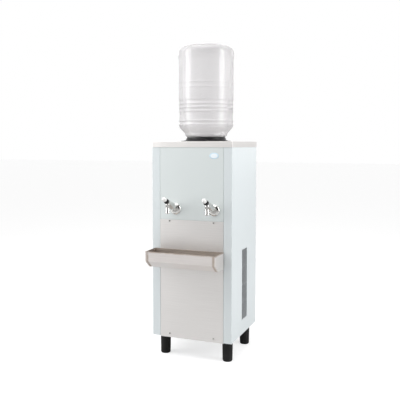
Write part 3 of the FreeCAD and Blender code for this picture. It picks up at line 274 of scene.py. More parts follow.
def turned_shape(corners, steps=64):
    """Lathe shape about Z. Corners are (radius, height, rounding reach), from axis or rim to axis or rim."""
    shape = bmesh.new()
    points = [shape.verts.new((radius, 0, height)) for radius, height, reach in corners]
    for start, end in zip(points, points[1:]):
        shape.edges.new((start, end))
    for point, (radius, height, reach) in zip(points, corners):
        if reach > 0:
            rounded(shape, [point], reach, 5, affect="VERTICES")
    bmesh.ops.spin(shape, geom=shape.verts[:] + shape.edges[:], cent=(0, 0, 0), axis=(0, 0, 1),
                   dvec=(0, 0, 0), angle=math.tau, steps=steps, use_merge=True, use_duplicate=False)
    bmesh.ops.remove_doubles(shape, verts=shape.verts[:], dist=0.00001)
    return faced(shape)


def finished(shape, name, material, body, slot, *nodes, smooth_angle=35.0):
    """Makes the modelled shape a piece: its finish, the body it rides on and the nodes it stands for."""
    mesh = bpy.data.meshes.new(name)
    shape.to_mesh(mesh)
    shape.free()
    mesh.materials.append(material)
    mesh.polygons.foreach_set("use_smooth", [True] * len(mesh.polygons))
    mesh.set_sharp_from_angle(angle=math.radians(smooth_angle))
    piece = bpy.data.objects.new(name, mesh)
    bpy.context.scene.collection.objects.link(piece)
    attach(piece, body)
    if nodes:
        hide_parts(*nodes)
    return piece


def black_plastic(name, colour, roughness, grain):
    """Moulded plastic with a fine grain, a little paler and duller where dust lies."""
    dusty = tuple(0.012 + 1.15 * part for part in colour)
    material, shader, place = clouded(name, colour, dusty, (roughness, roughness + 0.12), (14.0, 0.45, 0.8))
    relief(material, shader, grain_noise(material, place, grain), 0.0001, 0.35)
    return material


leg_black = black_plastic("leg_black", (0.010, 0.010, 0.010), 0.6, 700.0)
leg_black.node_tree.nodes["Principled BSDF"].inputs["Specular IOR Level"].default_value = 0.25
leg_radius = 0.025
foot_radius = 0.0235
for end in ("front", "back"):
    for side in ("left", "right"):
        node = "leg_%s_%s" % (end, side)
        low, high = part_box(node)
        middle = (low + high) / 2
        top = high.z
        shape = turned_shape([
            (0, 0, 0),
            (foot_radius - 0.0025, 0, 0),
            (foot_radius, 0.004, 0.002),
            (foot_radius + 0.0001, 0.010, 0),
            (foot_radius - 0.0009, 0.0112, 0.0003),
            (foot_radius - 0.0009, 0.0136, 0.0003),
            (foot_radius + 0.0002, 0.0148, 0),
            (leg_radius - 0.0002, top - 0.0095, 0),
            (leg_radius - 0.0012, top - 0.0085, 0.0003),
            (leg_radius - 0.0012, top - 0.0062, 0.0003),
            (leg_radius, top - 0.0052, 0),
            (leg_radius, top - 0.0002, 0.001),
            (0, top, 0),
        ])
        shifted(shape, middle.x, middle.y, 0)
        finished(shape, "leg_shell_%s_%s" % (end, side), leg_black, "cabinet", "leg_rubber", node)

# ---------------------------------------------------------------- badge
# Blank oval badge stuck on the upper panel. A pale blue rim is printed under its clear, slightly domed
# face.

low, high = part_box("badge_plate")
badge_middle = (low + high) / 2
badge_size = high - low
badge_paint, badge_shader, badge_place = blank_finish("badge_face", (0.86, 0.90, 0.93), 0.15)
centred = new_node(badge_paint.node_tree, "ShaderNodeMapping")
centred.inputs["Location"].default_value = (-badge_middle.x * 2 / badge_size.x, 0,
                                            -badge_middle.z * 2 / badge_size.z)
centred.inputs["Scale"].default_value = (2 / badge_size.x, 0, 2 / badge_size.z)
wire(badge_paint, badge_place, centred.inputs["Vector"])
reach = new_node(badge_paint.node_tree, "ShaderNodeVectorMath", operation="LENGTH")
wire(badge_paint, centred.outputs["Vector"], reach.inputs[0])
rim_mask = new_node(badge_paint.node_tree, "ShaderNodeMapRange", interpolation_type="SMOOTHSTEP")
rim_mask.inputs["From Min"].default_value = 0.62
rim_mask.inputs["From Max"].default_value = 0.86
wire(badge_paint, reach.outputs["Value"], rim_mask.inputs["Value"])
wire(badge_paint, two_tones(badge_paint, rim_mask.outputs["Result"], (0.84, 0.90, 0.94), (0.58, 0.74, 0.86)),
     badge_shader.inputs["Base Color"])
badge_shader.inputs["Coat Weight"].default_value = 0.8
badge_shader.inputs["Coat Roughness"].default_value = 0.03


def rotated(shape, angle, axis):
    bmesh.ops.rotate(shape, verts=shape.verts[:], cent=(0, 0, 0), matrix=Matrix.Rotation(angle, 3, axis))
    return shape


def raised(shape, faces, vec):
    """Extrudes the faces by vec, and gives the new faces."""
    made = bmesh.ops.extrude_face_region(shape, geom=faces)["geom"]
    bmesh.ops.translate(shape, verts=[part for part in made if isinstance(part, bmesh.types.BMVert)], vec=vec)
    return [part for part in made if isinstance(part, bmesh.types.BMFace)]


shape = bmesh.new()
bmesh.ops.create_circle(shape, cap_ends=True, radius=1.0, segments=64)
bmesh.ops.scale(shape, verts=shape.verts[:], vec=(badge_size.x / 2, badge_size.z / 2, 1))
rotated(shape, math.radians(90), "X")
dome = raised(shape, shape.faces[:], (0, -badge_size.y * 0.5, 0))
for inset, rise in ((0.0012, 0.28), (0.003, 0.14), (0.004, 0.06)):
    bmesh.ops.inset_region(shape, faces=dome, thickness=inset, use_even_offset=True)
    inner = list({vert for face in dome for vert in face.verts})
    bmesh.ops.translate(shape, verts=inner, vec=(0, -badge_size.y * rise, 0))
faced(shifted(shape, badge_middle.x, high.y, badge_middle.z))
finished(shape, "badge_dome", badge_paint, "cabinet", "badge", "badge_plate", smooth_angle=60)

# ---------------------------------------------------------------- collar
# Injection moulded ring in gloss dark plastic that seats the bottle. Its flange lies on the lid and its
# spigot drops through the lid's hole. The funnel inside ends in a short throat.

collar_low, collar_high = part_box("bottle_collar")
lid_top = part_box("top_cover")[1].z
middle_y = (collar_low.y + collar_high.y) / 2
collar_top = 0.022
throat = 0.033
funnel_rim = 0.093
funnel_slope = 0.026 / 0.0695


def funnel(radius):
    """Height of the funnel's face above the lid at that radius."""
    return collar_top - funnel_slope * (funnel_rim - radius)


collar_black = black_plastic("collar_black", (0.012, 0.0118, 0.012), 0.3, 500.0)
collar_black.node_tree.nodes["Principled BSDF"].inputs["Specular IOR Level"].default_value = 0.2
shape = turned_shape([
    (throat, -0.025, 0.0006),
    (throat + 0.0025, -0.025, 0.0006),
    (throat + 0.0025, funnel(throat + 0.0025) - 0.0032, 0.001),
    (0.057, 0, 0),
    (0.057, -0.010, 0.0006),
    (0.060, -0.010, 0.0006),
    (0.060, 0, 0),
    (0.1218, 0, 0.0005),
    (0.1218, 0.0033, 0.0012),
    (0.108, 0.0042, 0.003),
    (0.0985, 0.0075, 0.004),
    (0.0952, 0.0165, 0.003),
    (0.0942, 0.0195, 0.0006),
    (0.0934, 0.0198, 0.0004),
    (0.0930, collar_top - 0.0004, 0.001),
    (0.0895, funnel(0.0895), 0.001),
    (throat, funnel(throat), 0.0015),
    (throat, -0.025, 0.0006),
], steps=96)
shifted(shape, 0, middle_y, lid_top)
finished(shape, "collar_ring", collar_black, "cabinet", "collar_plastic", "bottle_collar")

# ---------------------------------------------------------------- bottle
# Five gallon bottle blown in clear plastic, mouth down. Narrow ribs stiffen its lower half, a broad ring
# stands proud near the base, and the base itself is drawn in.

bottle_low, bottle_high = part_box("water_bottle")
bottle_height = bottle_high.z - bottle_low.z
bottle_wall = 0.0016


def rib(radius, rise, height=0.003, half=0.006):
    return [(radius, rise - half, 0.0022), (radius + height, rise - 0.0012, 0.0016),
            (radius + height, rise + 0.0012, 0.0016), (radius, rise + half, 0.0022)]


bottle_side = [
    (0.0275, 0.0, 0),
    (0.0275, 0.0265, 0.0008),
    (0.0293, 0.0285, 0.0008),
    (0.0293, 0.0315, 0.0008),
    (0.0275, 0.0335, 0.0008),
    (0.0275, 0.046, 0.003),
    (0.0968, 0.072, 0.0015),
    (0.1034, 0.0804, 0.0012),
    (0.1034, 0.0884, 0.002),
    (0.1303, 0.1174, 0.004),
]
for rise in (0.1284, 0.1464, 0.1924, 0.2104, 0.2284):
    bottle_side += rib(0.1304, rise)
bottle_side += [(0.1304, 0.2414, 0.002), (0.1334, 0.2474, 0.002)]
for rise in (0.3064, 0.3294):
    bottle_side += rib(0.1334, rise, height=0.0013)
bottle_side += [
    (0.1334, 0.4374, 0.004),
    (0.1359, 0.4524, 0.004),
    (0.1359, bottle_height - 0.036, 0.010),
    (0.1330, bottle_height - 0.0200, 0.008),
    (0.1240, bottle_height - 0.0078, 0.008),
    (0.1090, bottle_height - 0.0008, 0.008),
    (0.0960, bottle_height - 0.0001, 0.004),
    (0.0845, bottle_height - 0.0118, 0.004),
    (0, bottle_height - 0.0118, 0),
]
shape = turned_shape(bottle_side, steps=128)
mouth_face = shape.faces[0]
if mouth_face.normal.dot(mouth_face.calc_center_median() - Vector((0, 0, 0.2))) < 0:
    bmesh.ops.reverse_faces(shape, faces=shape.faces[:])
bmesh.ops.solidify(shape, geom=shape.faces[:], thickness=bottle_wall)
faced(shifted(shape, 0, middle_y, bottle_low.z))
clear, clear_shader, clear_place = blank_finish("clear_bottle", (0.935, 0.926, 0.931), 0.24)
clear_shader.inputs["Transmission Weight"].default_value = 0.74
clear_shader.inputs["IOR"].default_value = 1.45
drawn = new_node(clear.node_tree, "ShaderNodeMapping")
drawn.inputs["Scale"].default_value = (1.0, 1.0, 0.25)
wire(clear, clear_place, drawn.inputs["Vector"])
flow = place_group(clear, cloudy, drawn.outputs["Vector"], Scale=22.0, Low=0.2, High=0.8)
relief(clear, clear_shader, flow.outputs["Mask"], 0.0006, 0.25)
finished(shape, "bottle_shell", clear, "bottle", "bottle_plastic", "water_bottle", smooth_angle=50)

# ---------------------------------------------------------------- taps
# Two chromed push-button taps. A domed flange meets the panel, a slim body tilts up from it and a spout
# hangs under its front end. A black bonnet screws into the nose, and a white button works the stem
# against a coil spring.

tilt = math.radians(23.8)
panel_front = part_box("upper_front_panel")[0].y
chrome = clouded("tap_chrome", (0.76, 0.75, 0.73), (0.84, 0.83, 0.81), (0.04, 0.10), (60.0, 0.3, 0.8),
                 metallic=1.0)[0]
bonnet_black = black_plastic("bonnet_black", (0.012, 0.012, 0.012), 0.2, 800.0)
button_white, button_shader = clouded("button_white", (0.86, 0.86, 0.85), (0.80, 0.80, 0.78), (0.16, 0.26),
                                      (120.0, 0.4, 0.8))[:2]
button_shader.inputs["Coat Weight"].default_value = 0.3
stem_steel, stem_shader, stem_place = blank_finish("stem_steel", (0.62, 0.62, 0.61), 0.22, 1.0)
stem_lines = place_group(stem_steel, brushed, stem_place, Length=900.0, Width=1200.0)
wire(stem_steel, between(stem_steel, stem_lines.outputs["Shade"], 0.18, 0.3), stem_shader.inputs["Roughness"])


def on_tap(shape, x, z, angle):
    """Turns a shape made along +Z to point out of the panel and up by the angle, at the tap's wall point."""
    return shifted(rotated(shape, math.radians(90) - angle, "X"), x, panel_front, z)


def coil(radius, wire_radius, low, high, turns, steps=20, sides=8):
    """Open coil of round wire about Z, closed at both ends."""
    shape = bmesh.new()
    rings = []
    count = turns * steps
    for step in range(count + 1):
        angle = math.tau * step / steps
        middle_z = low + wire_radius + (high - low - 2 * wire_radius) * step / count
        rings.append([shape.verts.new((
            (radius + wire_radius * math.cos(math.tau * side / sides)) * math.cos(angle),
            (radius + wire_radius * math.cos(math.tau * side / sides)) * math.sin(angle),
            middle_z + wire_radius * math.sin(math.tau * side / sides))) for side in range(sides)])
    for near, far in zip(rings, rings[1:]):
        for side in range(sides):
            following = (side + 1) % sides
            shape.faces.new((near[side], near[following], far[following], far[side]))
    shape.faces.new(rings[0])
    shape.faces.new(rings[-1])
    return faced(shape)


spring_low, spring_high, press_travel = 0.0688, 0.0967, 0.007
spout_out = 0.086
for side in ("left", "right"):
    low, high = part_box("tap_flange_" + side)
    x = (low.x + high.x) / 2
    z = (low.z + high.z) / 2
    body = "cabinet"
    flange = on_tap(turned_shape([
        (0.0123, 0, 0), (0.0269, 0, 0), (0.0269, 0.0015, 0.0006), (0.0247, 0.0045, 0.0018),
        (0.0200, 0.0073, 0.0025), (0.0145, 0.0089, 0.001), (0.0123, 0.0089, 0), (0.0123, 0, 0),
    ]), x, z, 0.0)
    finished(flange, "wall_flange_" + side, chrome, body, "tap_chrome", "tap_flange_" + side)
    bell = on_tap(turned_shape([
        (0, 0.013, 0), (0.0128, 0.013, 0.0015), (0.0145, 0.020, 0.005), (0.0163, 0.034, 0.008),
        (0.0161, 0.048, 0.008), (0.0146, 0.068, 0.008), (0.0126, 0.088, 0.006), (0.0118, 0.097, 0.002),
        (0.0112, 0.100, 0.0006), (0.0112, 0.104, 0.0006), (0.0086, 0.104, 0.0003), (0.0086, 0.098, 0),
        (0, 0.098, 0),
    ], steps=72), x, z, tilt)
    finished(bell, "tap_bell_" + side, chrome, body, "tap_chrome", "tap_body_" + side)
    shank = on_tap(turned_shape([
        (0, -0.0005, 0), (0.0119, -0.0005, 0), (0.0119, 0.0128, 0.0012), (0, 0.0128, 0),
    ]), x, z, 0.0)
    finished(shank, "tap_shank_" + side, chrome, body, "tap_chrome")
    tail = on_tap(turned_shape([
        (0.0042, -0.037, 0), (0.0048, -0.037, 0), (0.0054, -0.0345, 0), (0.0048, -0.0335, 0),
        (0.0054, -0.031, 0), (0.0048, -0.030, 0), (0.0054, -0.0275, 0), (0.0048, -0.0265, 0),
        (0.0048, -0.017, 0), (0.0079, -0.017, 0.0005), (0.0079, -0.001, 0), (0.0042, -0.001, 0),
        (0.0042, -0.037, 0),
    ], steps=32), x, z, 0.0)
    finished(tail, "tap_tail_" + side, chrome, body, "tap_chrome")
    spout_low = z - 0.0135
    spout_top = z + spout_out * math.tan(tilt)
    spout = turned_shape([
        (0.0057, spout_low, 0.0003), (0.0080, spout_low, 0.0006), (0.0094, spout_low + 0.0016, 0.0008),
        (0.0094, spout_low + 0.008, 0.0006), (0.0088, spout_low + 0.0095, 0.0008),
        (0.0090, spout_low + 0.028, 0.003), (0.0103, spout_low + 0.040, 0.003), (0.0104, spout_top, 0),
        (0, spout_top, 0), (0, spout_low + 0.010, 0), (0.0057, spout_low + 0.010, 0),
        (0.0057, spout_low, 0.0003),
    ])
    finished(shifted(spout, x, panel_front - spout_out, 0), "tap_spout_" + side, chrome, body, "tap_chrome")
    bonnet = on_tap(turned_shape([
        (0.0026, 0.1149, 0.0003), (0.0080, 0.1149, 0.0006), (0.0112, 0.1128, 0.0008),
        (0.0118, 0.1100, 0.0003), (0.0110, 0.1094, 0.0002), (0.0110, 0.1078, 0.0002),
        (0.0119, 0.1072, 0.0003), (0.0119, 0.1036, 0.0006), (0.0114, 0.1030, 0.0002),
        (0.0114, 0.1042, 0), (0.0026, 0.1042, 0), (0.0026, 0.1149, 0.0003),
    ], steps=48), x, z, tilt)
    finished(bonnet, "bonnet_" + side, bonnet_black, body, "tap_black")
    button = on_tap(turned_shape([
        (0, 0.1252, 0), (0.0088, 0.1252, 0.0006), (0.0099, 0.1264, 0.0008), (0.0099, 0.1355, 0.0015),
        (0.0090, 0.1412, 0.002), (0.0062, 0.1447, 0.002), (0.0026, 0.1458, 0.001), (0, 0.1459, 0),
    ], steps=48), x, z, tilt)
    finished(button, "push_cap_" + side, button_white, "button_" + side, "button_white",
             "push_button_" + side)
    dress(bonnet_black, "tap_cartridge_" + side)
    dress(stem_steel, "tap_stem_" + side)
    spring = on_tap(coil(0.0042, 0.0007, spring_low, spring_high, 7), x, z, tilt)
    spring = finished(spring, "spring_coil_" + side, stem_steel, body, "spring_steel", "tap_spring_" + side,
                      smooth_angle=60)
    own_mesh(spring)

# ---------------------------------------------------------------- drip tray
# Open trough folded from brushed stainless sheet: deep vertical front, sloped underside, flat floor and
# welded end plates. Its back is folded over into a hook that hangs on the rail.

tray_low, tray_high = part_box("drip_tray")
tray_sheet = 0.0012
tray_back = 0.005
tray_front = 0.110
tray_slope_back = 0.039
tray_slope_down = 0.032
tray_bend = 0.0022
hem_out = 0.0024
hem_drop = 0.007
hook_back = 0.0016
hook_drop = 0.0145
cap_lip = 0.011
cap_sheet = 0.0007
cap_bend = 0.0016
tray_steel = brushed_steel("tray_steel", (0.84, 0.795, 0.77), (0.92, 0.875, 0.85), 0.32, 0.40)
# Inside of the trough painted dark brown: partly a water stain, partly painted shade within the trough.
tray_inside_stain_and_shade = brushed_steel("tray_inside_stain_and_shade", (0.40, 0.34, 0.29), (0.64, 0.59, 0.55), 0.35, 0.5)


def maths(tree, operation, first, second=0.0):
    """Value worked out from two others, each a number or a socket."""
    node = new_node(tree, "ShaderNodeMath", operation=operation)
    for socket, value in zip(node.inputs, (first, second)):
        if isinstance(value, float):
            socket.default_value = value
        else:
            tree.links.new(value, socket)
    return node.outputs["Value"]


def weld_tint_and_fold_shade(material):
    """Brown along the upper fold and by both end plates: weld tint, and painted shade in fold and joints."""
    tree = material.node_tree
    shader = tree.nodes["Principled BSDF"]
    place = tree.nodes["Texture Coordinate"].outputs["Object"]
    parts = new_node(tree, "ShaderNodeSeparateXYZ")
    wire(material, place, parts.inputs["Vector"])
    marks = []
    for axis, weld, reach in (("X", tray_low.x + cap_lip, 0.010), ("X", tray_high.x - cap_lip, 0.010),
                              ("Z", tray_high.z, 0.007)):
        away = maths(tree, "ABSOLUTE", maths(tree, "SUBTRACT", parts.outputs[axis], weld))
        near = new_node(tree, "ShaderNodeMapRange", interpolation_type="SMOOTHSTEP")
        near.inputs["From Max"].default_value = reach
        near.inputs["To Min"].default_value = 1.0
        near.inputs["To Max"].default_value = 0.0
        wire(material, away, near.inputs["Value"])
        marks.append(near.outputs["Result"])
    every = maths(tree, "MAXIMUM", maths(tree, "MAXIMUM", marks[0], marks[1]), marks[2])
    patchy = place_group(material, cloudy, place, Scale=30.0, Low=0.25, High=0.6).outputs["Mask"]
    amount = maths(tree, "MULTIPLY", every, between(material, patchy, 0.35, 0.85))
    plain = shader.inputs["Base Color"].links[0].from_socket
    # Brown of the weld tint and of the painted shade in the fold and by the end plates.
    tint = new_node(tree, "ShaderNodeMix", data_type="RGBA")
    tint.inputs[7].default_value = (0.50, 0.40, 0.33, 1.0)
    wire(material, amount, tint.inputs["Factor"])
    wire(material, plain, tint.inputs[6])
    wire(material, tint.outputs[2], shader.inputs["Base Color"])


weld_tint_and_fold_shade(tray_steel)


def flatten(piece):
    """Keeps flat sheet flat to the eye beside its small folds."""
    even = piece.modifiers.new("even", "WEIGHTED_NORMAL")
    even.keep_sharp = True


def trough_outline(shape, x, grow):
    """Section of the trough at x as one face: back top, back foot, floor front, slope top, front top."""
    top = tray_high.z
    foot = tray_low.z + cap_sheet - grow
    front = tray_front - cap_sheet + grow
    corners = [(tray_back, top), (tray_back, foot), (front - tray_slope_back, foot),
               (front, foot + tray_slope_down), (front, top)]
    verts = [shape.verts.new((x, panel_front - out, z)) for out, z in corners]
    return shape.faces.new(verts)


def thicken(piece, sheet):
    """Gives the piece its sheet's thickness, behind the modelled face."""
    wall = piece.modifiers.new("sheet", "SOLIDIFY")
    wall.thickness = sheet
    wall.offset = -1
    return wall


def fold_out(shape, edges, vec):
    """Draws a strip of sheet out of the edges by vec, and gives its new vertices and edges."""
    made = bmesh.ops.extrude_edge_only(shape, edges=edges)["geom"]
    verts = [part for part in made if isinstance(part, bmesh.types.BMVert)]
    bmesh.ops.translate(shape, verts=verts, vec=vec)
    return verts, [part for part in made if isinstance(part, bmesh.types.BMEdge)]


shape = bmesh.new()
section = trough_outline(shape, tray_low.x + cap_sheet, 0.0)
raised(shape, [section], (tray_high.x - tray_low.x - 2 * cap_sheet, 0, 0))
faced(shape)
mouth = [face for face in shape.faces if face.normal.z > 0.9]
bmesh.ops.delete(shape, geom=mouth, context="FACES_ONLY")
folds = [edge for edge in shape.edges
         if len(edge.link_faces) == 2 and abs((edge.verts[0].co - edge.verts[1].co).x) > 0.1]
rounded(shape, folds, tray_bend, 4)
rim = [edge for edge in shape.edges if len(edge.link_faces) == 1]
back_rim = [edge for edge in rim if all(vert.co.y > panel_front - tray_back - 0.0005 for vert in edge.verts)]
hem_rim = [edge for edge in rim if edge not in back_rim]
middle = (tray_low + tray_high) / 2
hem, hem_edges = fold_out(shape, hem_rim, (0, 0, 0))
for vert in hem:
    if vert.co.y < panel_front - tray_back - 0.001:
        vert.co.y += hem_out
    vert.co.x += hem_out if vert.co.x < middle.x else -hem_out
fold_out(shape, hem_edges, (0, 0, -hem_drop))
hook_edges = fold_out(shape, back_rim, (0, tray_back - hook_back - tray_sheet, 0))[1]
fold_out(shape, hook_edges, (0, 0, -hook_drop))
trough = finished(faced(shape), "tray_trough", tray_steel, "tray", "stainless", "drip_tray")
# The trough's inner faces, made by the sheet's thickness, take the stain and painted shade finish.
trough.data.materials.append(tray_inside_stain_and_shade)
thicken(trough, tray_sheet).material_offset = 1
flatten(trough)

for side, x, inward in (("left", tray_low.x, 1), ("right", tray_high.x, -1)):
    shape = bmesh.new()
    trough_outline(shape, x, cap_sheet)
    lip_edges = [edge for edge in shape.edges if max(vert.co.y for vert in edge.verts) < panel_front - 0.06
                 or max(vert.co.z for vert in edge.verts) < tray_low.z + 0.001]
    fold_out(shape, lip_edges, (inward * cap_lip, 0, 0))
    faced(shape)
    rounded(shape, [edge for edge in shape.edges if len(edge.link_faces) == 2], cap_bend, 3)
    plate = max(shape.faces, key=lambda face: face.calc_area())
    if plate.normal.x * inward > 0:
        bmesh.ops.reverse_faces(shape, faces=shape.faces[:])
    cap = finished(shape, "tray_end_" + side, tray_steel, "tray", "stainless")
    thicken(cap, cap_sheet)
    flatten(cap)

# ---------------------------------------------------------------- back panel louvres
# Three columns of louvres let warm air out behind the compressor. Each is a hood pressed out of the
# galvanised sheet over its slot, closed at the top and ends and open below.

back_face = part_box("back_panel")[1].y
louvre_reach = 0.0042
louvre_half = 0.0365
louvre_height = 0.0085
louvre_low = 0.220
louvre_pitch = 0.014
louvre_taper = 0.0022
louvre_bend = 0.0009
louvre_sheet = 0.0007


def slab(shape, size, place):
    """Adds a box of that size about the place, and gives its vertices."""
    verts = bmesh.ops.create_cube(shape, size=1.0)["verts"]
    bmesh.ops.scale(shape, verts=verts, vec=size)
    bmesh.ops.translate(shape, verts=verts, vec=place)
    return verts


shape = bmesh.new()
for column in (-0.110, 0.0, 0.110):
    for row in range(12):
        z = louvre_low + row * louvre_pitch
        hood = slab(shape, (2 * louvre_half, louvre_reach, louvre_height),
                    (column, back_face + louvre_reach / 2, z + 0.0002))
        for vert in hood:
            if vert.co.y > back_face + louvre_reach / 2:
                if vert.co.z > z:
                    vert.co.z -= 0.0030
                    vert.co.y -= 0.0012
                vert.co.x += louvre_taper if vert.co.x < column else -louvre_taper
        centres = {face: face.calc_center_median() for vert in hood for face in vert.link_faces}
        open_faces = [face for face, centre in centres.items()
                      if centre.y < back_face + 0.0001 or centre.z < z - 0.003]
        bmesh.ops.delete(shape, geom=open_faces, context="FACES_ONLY")
rounded(shape, [edge for edge in shape.edges if len(edge.link_faces) == 2], louvre_bend, 2)
faced(shape)
if sum(face.normal.y * face.calc_area() for face in shape.faces) < 0:
    bmesh.ops.reverse_faces(shape, faces=shape.faces[:])
thicken(finished(shape, "back_louvres", galvanised, "cabinet", "galvanised"), louvre_sheet)

# ---------------------------------------------------------------- thermostat and its knob
# Bulb thermostat in a black moulded case behind the back panel. Its fluted knob has a raised pointer and
# turns outside, on the spindle that passes through the panel.


def on_back(shape, x, z):
    """Turns a shape made along +Z to point out of the back panel, from the place given."""
    return shifted(rotated(shape, math.radians(-90), "X"), x, back_face, z)


def fluted(shape, count, depth, inner, low, high=math.inf):
    """Cuts shallow flutes into a turned rim, beyond the inner radius and between two heights."""
    for vert in shape.verts:
        if math.hypot(vert.co.x, vert.co.y) > inner and low < vert.co.z < high:
            flute = 0.5 + 0.5 * math.cos(count * math.atan2(vert.co.y, vert.co.x))
            vert.co.xy *= 1 - depth * flute
    return shape


control_black = black_plastic("control_black", (0.020, 0.020, 0.021), 0.42, 900.0)
knob_low, knob_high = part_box("thermostat_knob")
knob_x = (knob_low.x + knob_high.x) / 2
knob_z = (knob_low.z + knob_high.z) / 2
knob_top = knob_high.y - back_face
knob = fluted(turned_shape([
    (0, 0.0013, 0), (0.0136, 0.0013, 0.0003), (0.0139, 0.0018, 0.0003), (0.0139, 0.0042, 0.0004),
    (0.0128, 0.0050, 0.0006), (0.0120, knob_top - 0.0022, 0.001), (0.0104, knob_top - 0.0006, 0.0008),
    (0.0088, knob_top - 0.0012, 0.0004), (0, knob_top - 0.0014, 0),
], steps=72), count=24, depth=0.07, inner=0.0105, low=0.0055, high=knob_top - 0.0012)
finished(on_back(knob, knob_x, knob_z), "knob_cap", control_black, "knob", "control_plastic",
         "thermostat_knob")
knob_mark = clouded("knob_mark", (0.80, 0.80, 0.78), (0.62, 0.62, 0.60), (0.4, 0.4), (500.0, 0.4, 0.7))[0]
pointer = bmesh.new()
slab(pointer, (0.0016, 0.0075, 0.0010), (0, 0.0048, knob_top - 0.0011))
rounded(pointer, pointer.edges[:], 0.0002, 2)
finished(on_back(pointer, knob_x, knob_z), "knob_pointer", knob_mark, "knob", "control_plastic")
spindle = turned_shape([(0, -0.0115, 0), (0.0029, -0.0115, 0.0004), (0.0029, 0.0020, 0), (0, 0.0020, 0)],
                       steps=24)
finished(on_back(spindle, knob_x, knob_z), "knob_spindle", stem_steel, "knob", "control_plastic")
dress(control_black, "thermostat")

# ---------------------------------------------------------------- cable gland
# Black nylon gland for the supply cable: a hexagon against the back panel, a ribbed cap over it, and a
# locknut on the thread inside.

gland_low, gland_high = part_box("cable_gland")
gland_x = (gland_low.x + gland_high.x) / 2
gland_z = (gland_low.z + gland_high.z) / 2
gland_reach = gland_high.y - back_face


def hexagon(low, high, flats):
    """Six-sided nut between two heights, that wide across its flats."""
    shape = bmesh.new()
    bmesh.ops.create_circle(shape, cap_ends=True, radius=flats / math.sqrt(3), segments=6)
    raised(shape, shape.faces[:], (0, 0, high - low))
    faced(shifted(shape, 0, 0, low))
    rounded(shape, shape.edges[:], 0.0007, 3)
    return shape


gland_black = black_plastic("gland_black", (0.016, 0.016, 0.017), 0.38, 1200.0)
gland_flats = 0.0219
finished(on_back(hexagon(0.0001, 0.005, gland_flats), gland_x, gland_z), "gland_hexagon", gland_black,
         "cabinet", "control_plastic", "cable_gland")
finished(on_back(hexagon(-0.0061, -0.0014, gland_flats), gland_x, gland_z), "gland_locknut", gland_black,
         "cabinet", "control_plastic")
cap = fluted(turned_shape([
    (0.0037, -0.0088, 0), (0.0079, -0.0088, 0.0003), (0.0079, 0.0048, 0), (0.0094, 0.0048, 0.0003),
    (0.0094, 0.0098, 0.0008), (0.0082, gland_reach - 0.0004, 0.0012), (0.0052, gland_reach - 0.0001, 0.0004),
    (0.0042, gland_reach - 0.0012, 0.0003), (0.0037, gland_reach - 0.0022, 0), (0.0037, -0.0088, 0),
], steps=60), count=12, depth=0.035, inner=0.0085, low=0.0052)
finished(on_back(cap, gland_x, gland_z), "gland_cap", gland_black, "cabinet", "control_plastic")

# ---------------------------------------------------------------- water tank, its foam and its hoses
# Deep drawn stainless tank hung under the lid's hole, with a white baffle above the cold zone, a copper
# cooling coil soldered round it, poured foam about it, and a silicone hose from the tank to each tap.

tank_steel = brushed_steel("tank_steel", (0.58, 0.58, 0.57), (0.68, 0.68, 0.67), 0.28, 0.40)
dress(tank_steel, "water_tank")

foam, foam_shader, foam_place = clouded("tank_foam", (0.74, 0.64, 0.42), (0.83, 0.76, 0.58), (0.9, 0.9),
                                        (30.0, 0.3, 0.7))
relief(foam, foam_shader, grain_noise(foam, foam_place, 450.0, detail=4.0), 0.0008, 0.6)
dress(foam, "insulation_front", "insulation_back")

rubber = black_plastic("grey_rubber", (0.10, 0.10, 0.10), 0.7, 400.0)
dress(rubber, "tank_gasket", "tap_washer_left", "tap_washer_right", "compressor_mounts")

baffle_white = clouded("baffle_white", (0.80, 0.80, 0.77), (0.74, 0.73, 0.69), (0.3, 0.42),
                       (25.0, 0.35, 0.75))[0]
dress(baffle_white, "tank_baffle")

hose_clear, hose_shader = clouded("hose_clear", (0.70, 0.70, 0.66), (0.78, 0.78, 0.75), (0.22, 0.34),
                                  (60.0, 0.3, 0.7))[:2]
hose_shader.inputs["Transmission Weight"].default_value = 0.25
dress(hose_clear, "tap_hose_left", "tap_hose_right")


def bare_metal(name, dark, light, rough_low, rough_high, scale=80.0):
    """Solid metal with slow patches of tarnish and fine drawing marks."""
    material, shader, place = clouded(name, dark, light, (rough_high, rough_low), (scale, 0.3, 0.72), 1.0)
    relief(material, shader, grain_noise(material, place, scale * 12), 0.00005, 0.3)
    return material


brass = bare_metal("brass_nut", (0.42, 0.30, 0.13), (0.62, 0.47, 0.22), 0.22, 0.4)
dress(brass, "tap_nuts")
copper = bare_metal("copper_tube", (0.40, 0.19, 0.11), (0.66, 0.34, 0.21), 0.24, 0.45, scale=50.0)
dress(copper, "condenser_tube", "filter_drier", "discharge_line", "suction_line", "capillary_tube")
jacket_copper = bare_metal("jacket_copper", (0.42, 0.21, 0.12), (0.64, 0.33, 0.20), 0.28, 0.45, scale=40.0)
jacket_nodes = jacket_copper.node_tree.nodes
coil_turns = new_node(jacket_copper.node_tree, "ShaderNodeTexWave", bands_direction="Z")
coil_turns.inputs["Scale"].default_value = 32.0
wire(jacket_copper, jacket_nodes["Texture Coordinate"].outputs["Object"], coil_turns.inputs["Vector"])
relief(jacket_copper, jacket_nodes["Principled BSDF"], coil_turns.outputs["Fac"], 0.003)
dress(jacket_copper, "evaporator_jacket")

# ---------------------------------------------------------------- compressor
# Hermetic compressor: two drawn steel shells lapped and welded at a seam, enamelled black, on a pressed
# foot plate that stands on four rubber mounts. The terminals have a moulded cover.

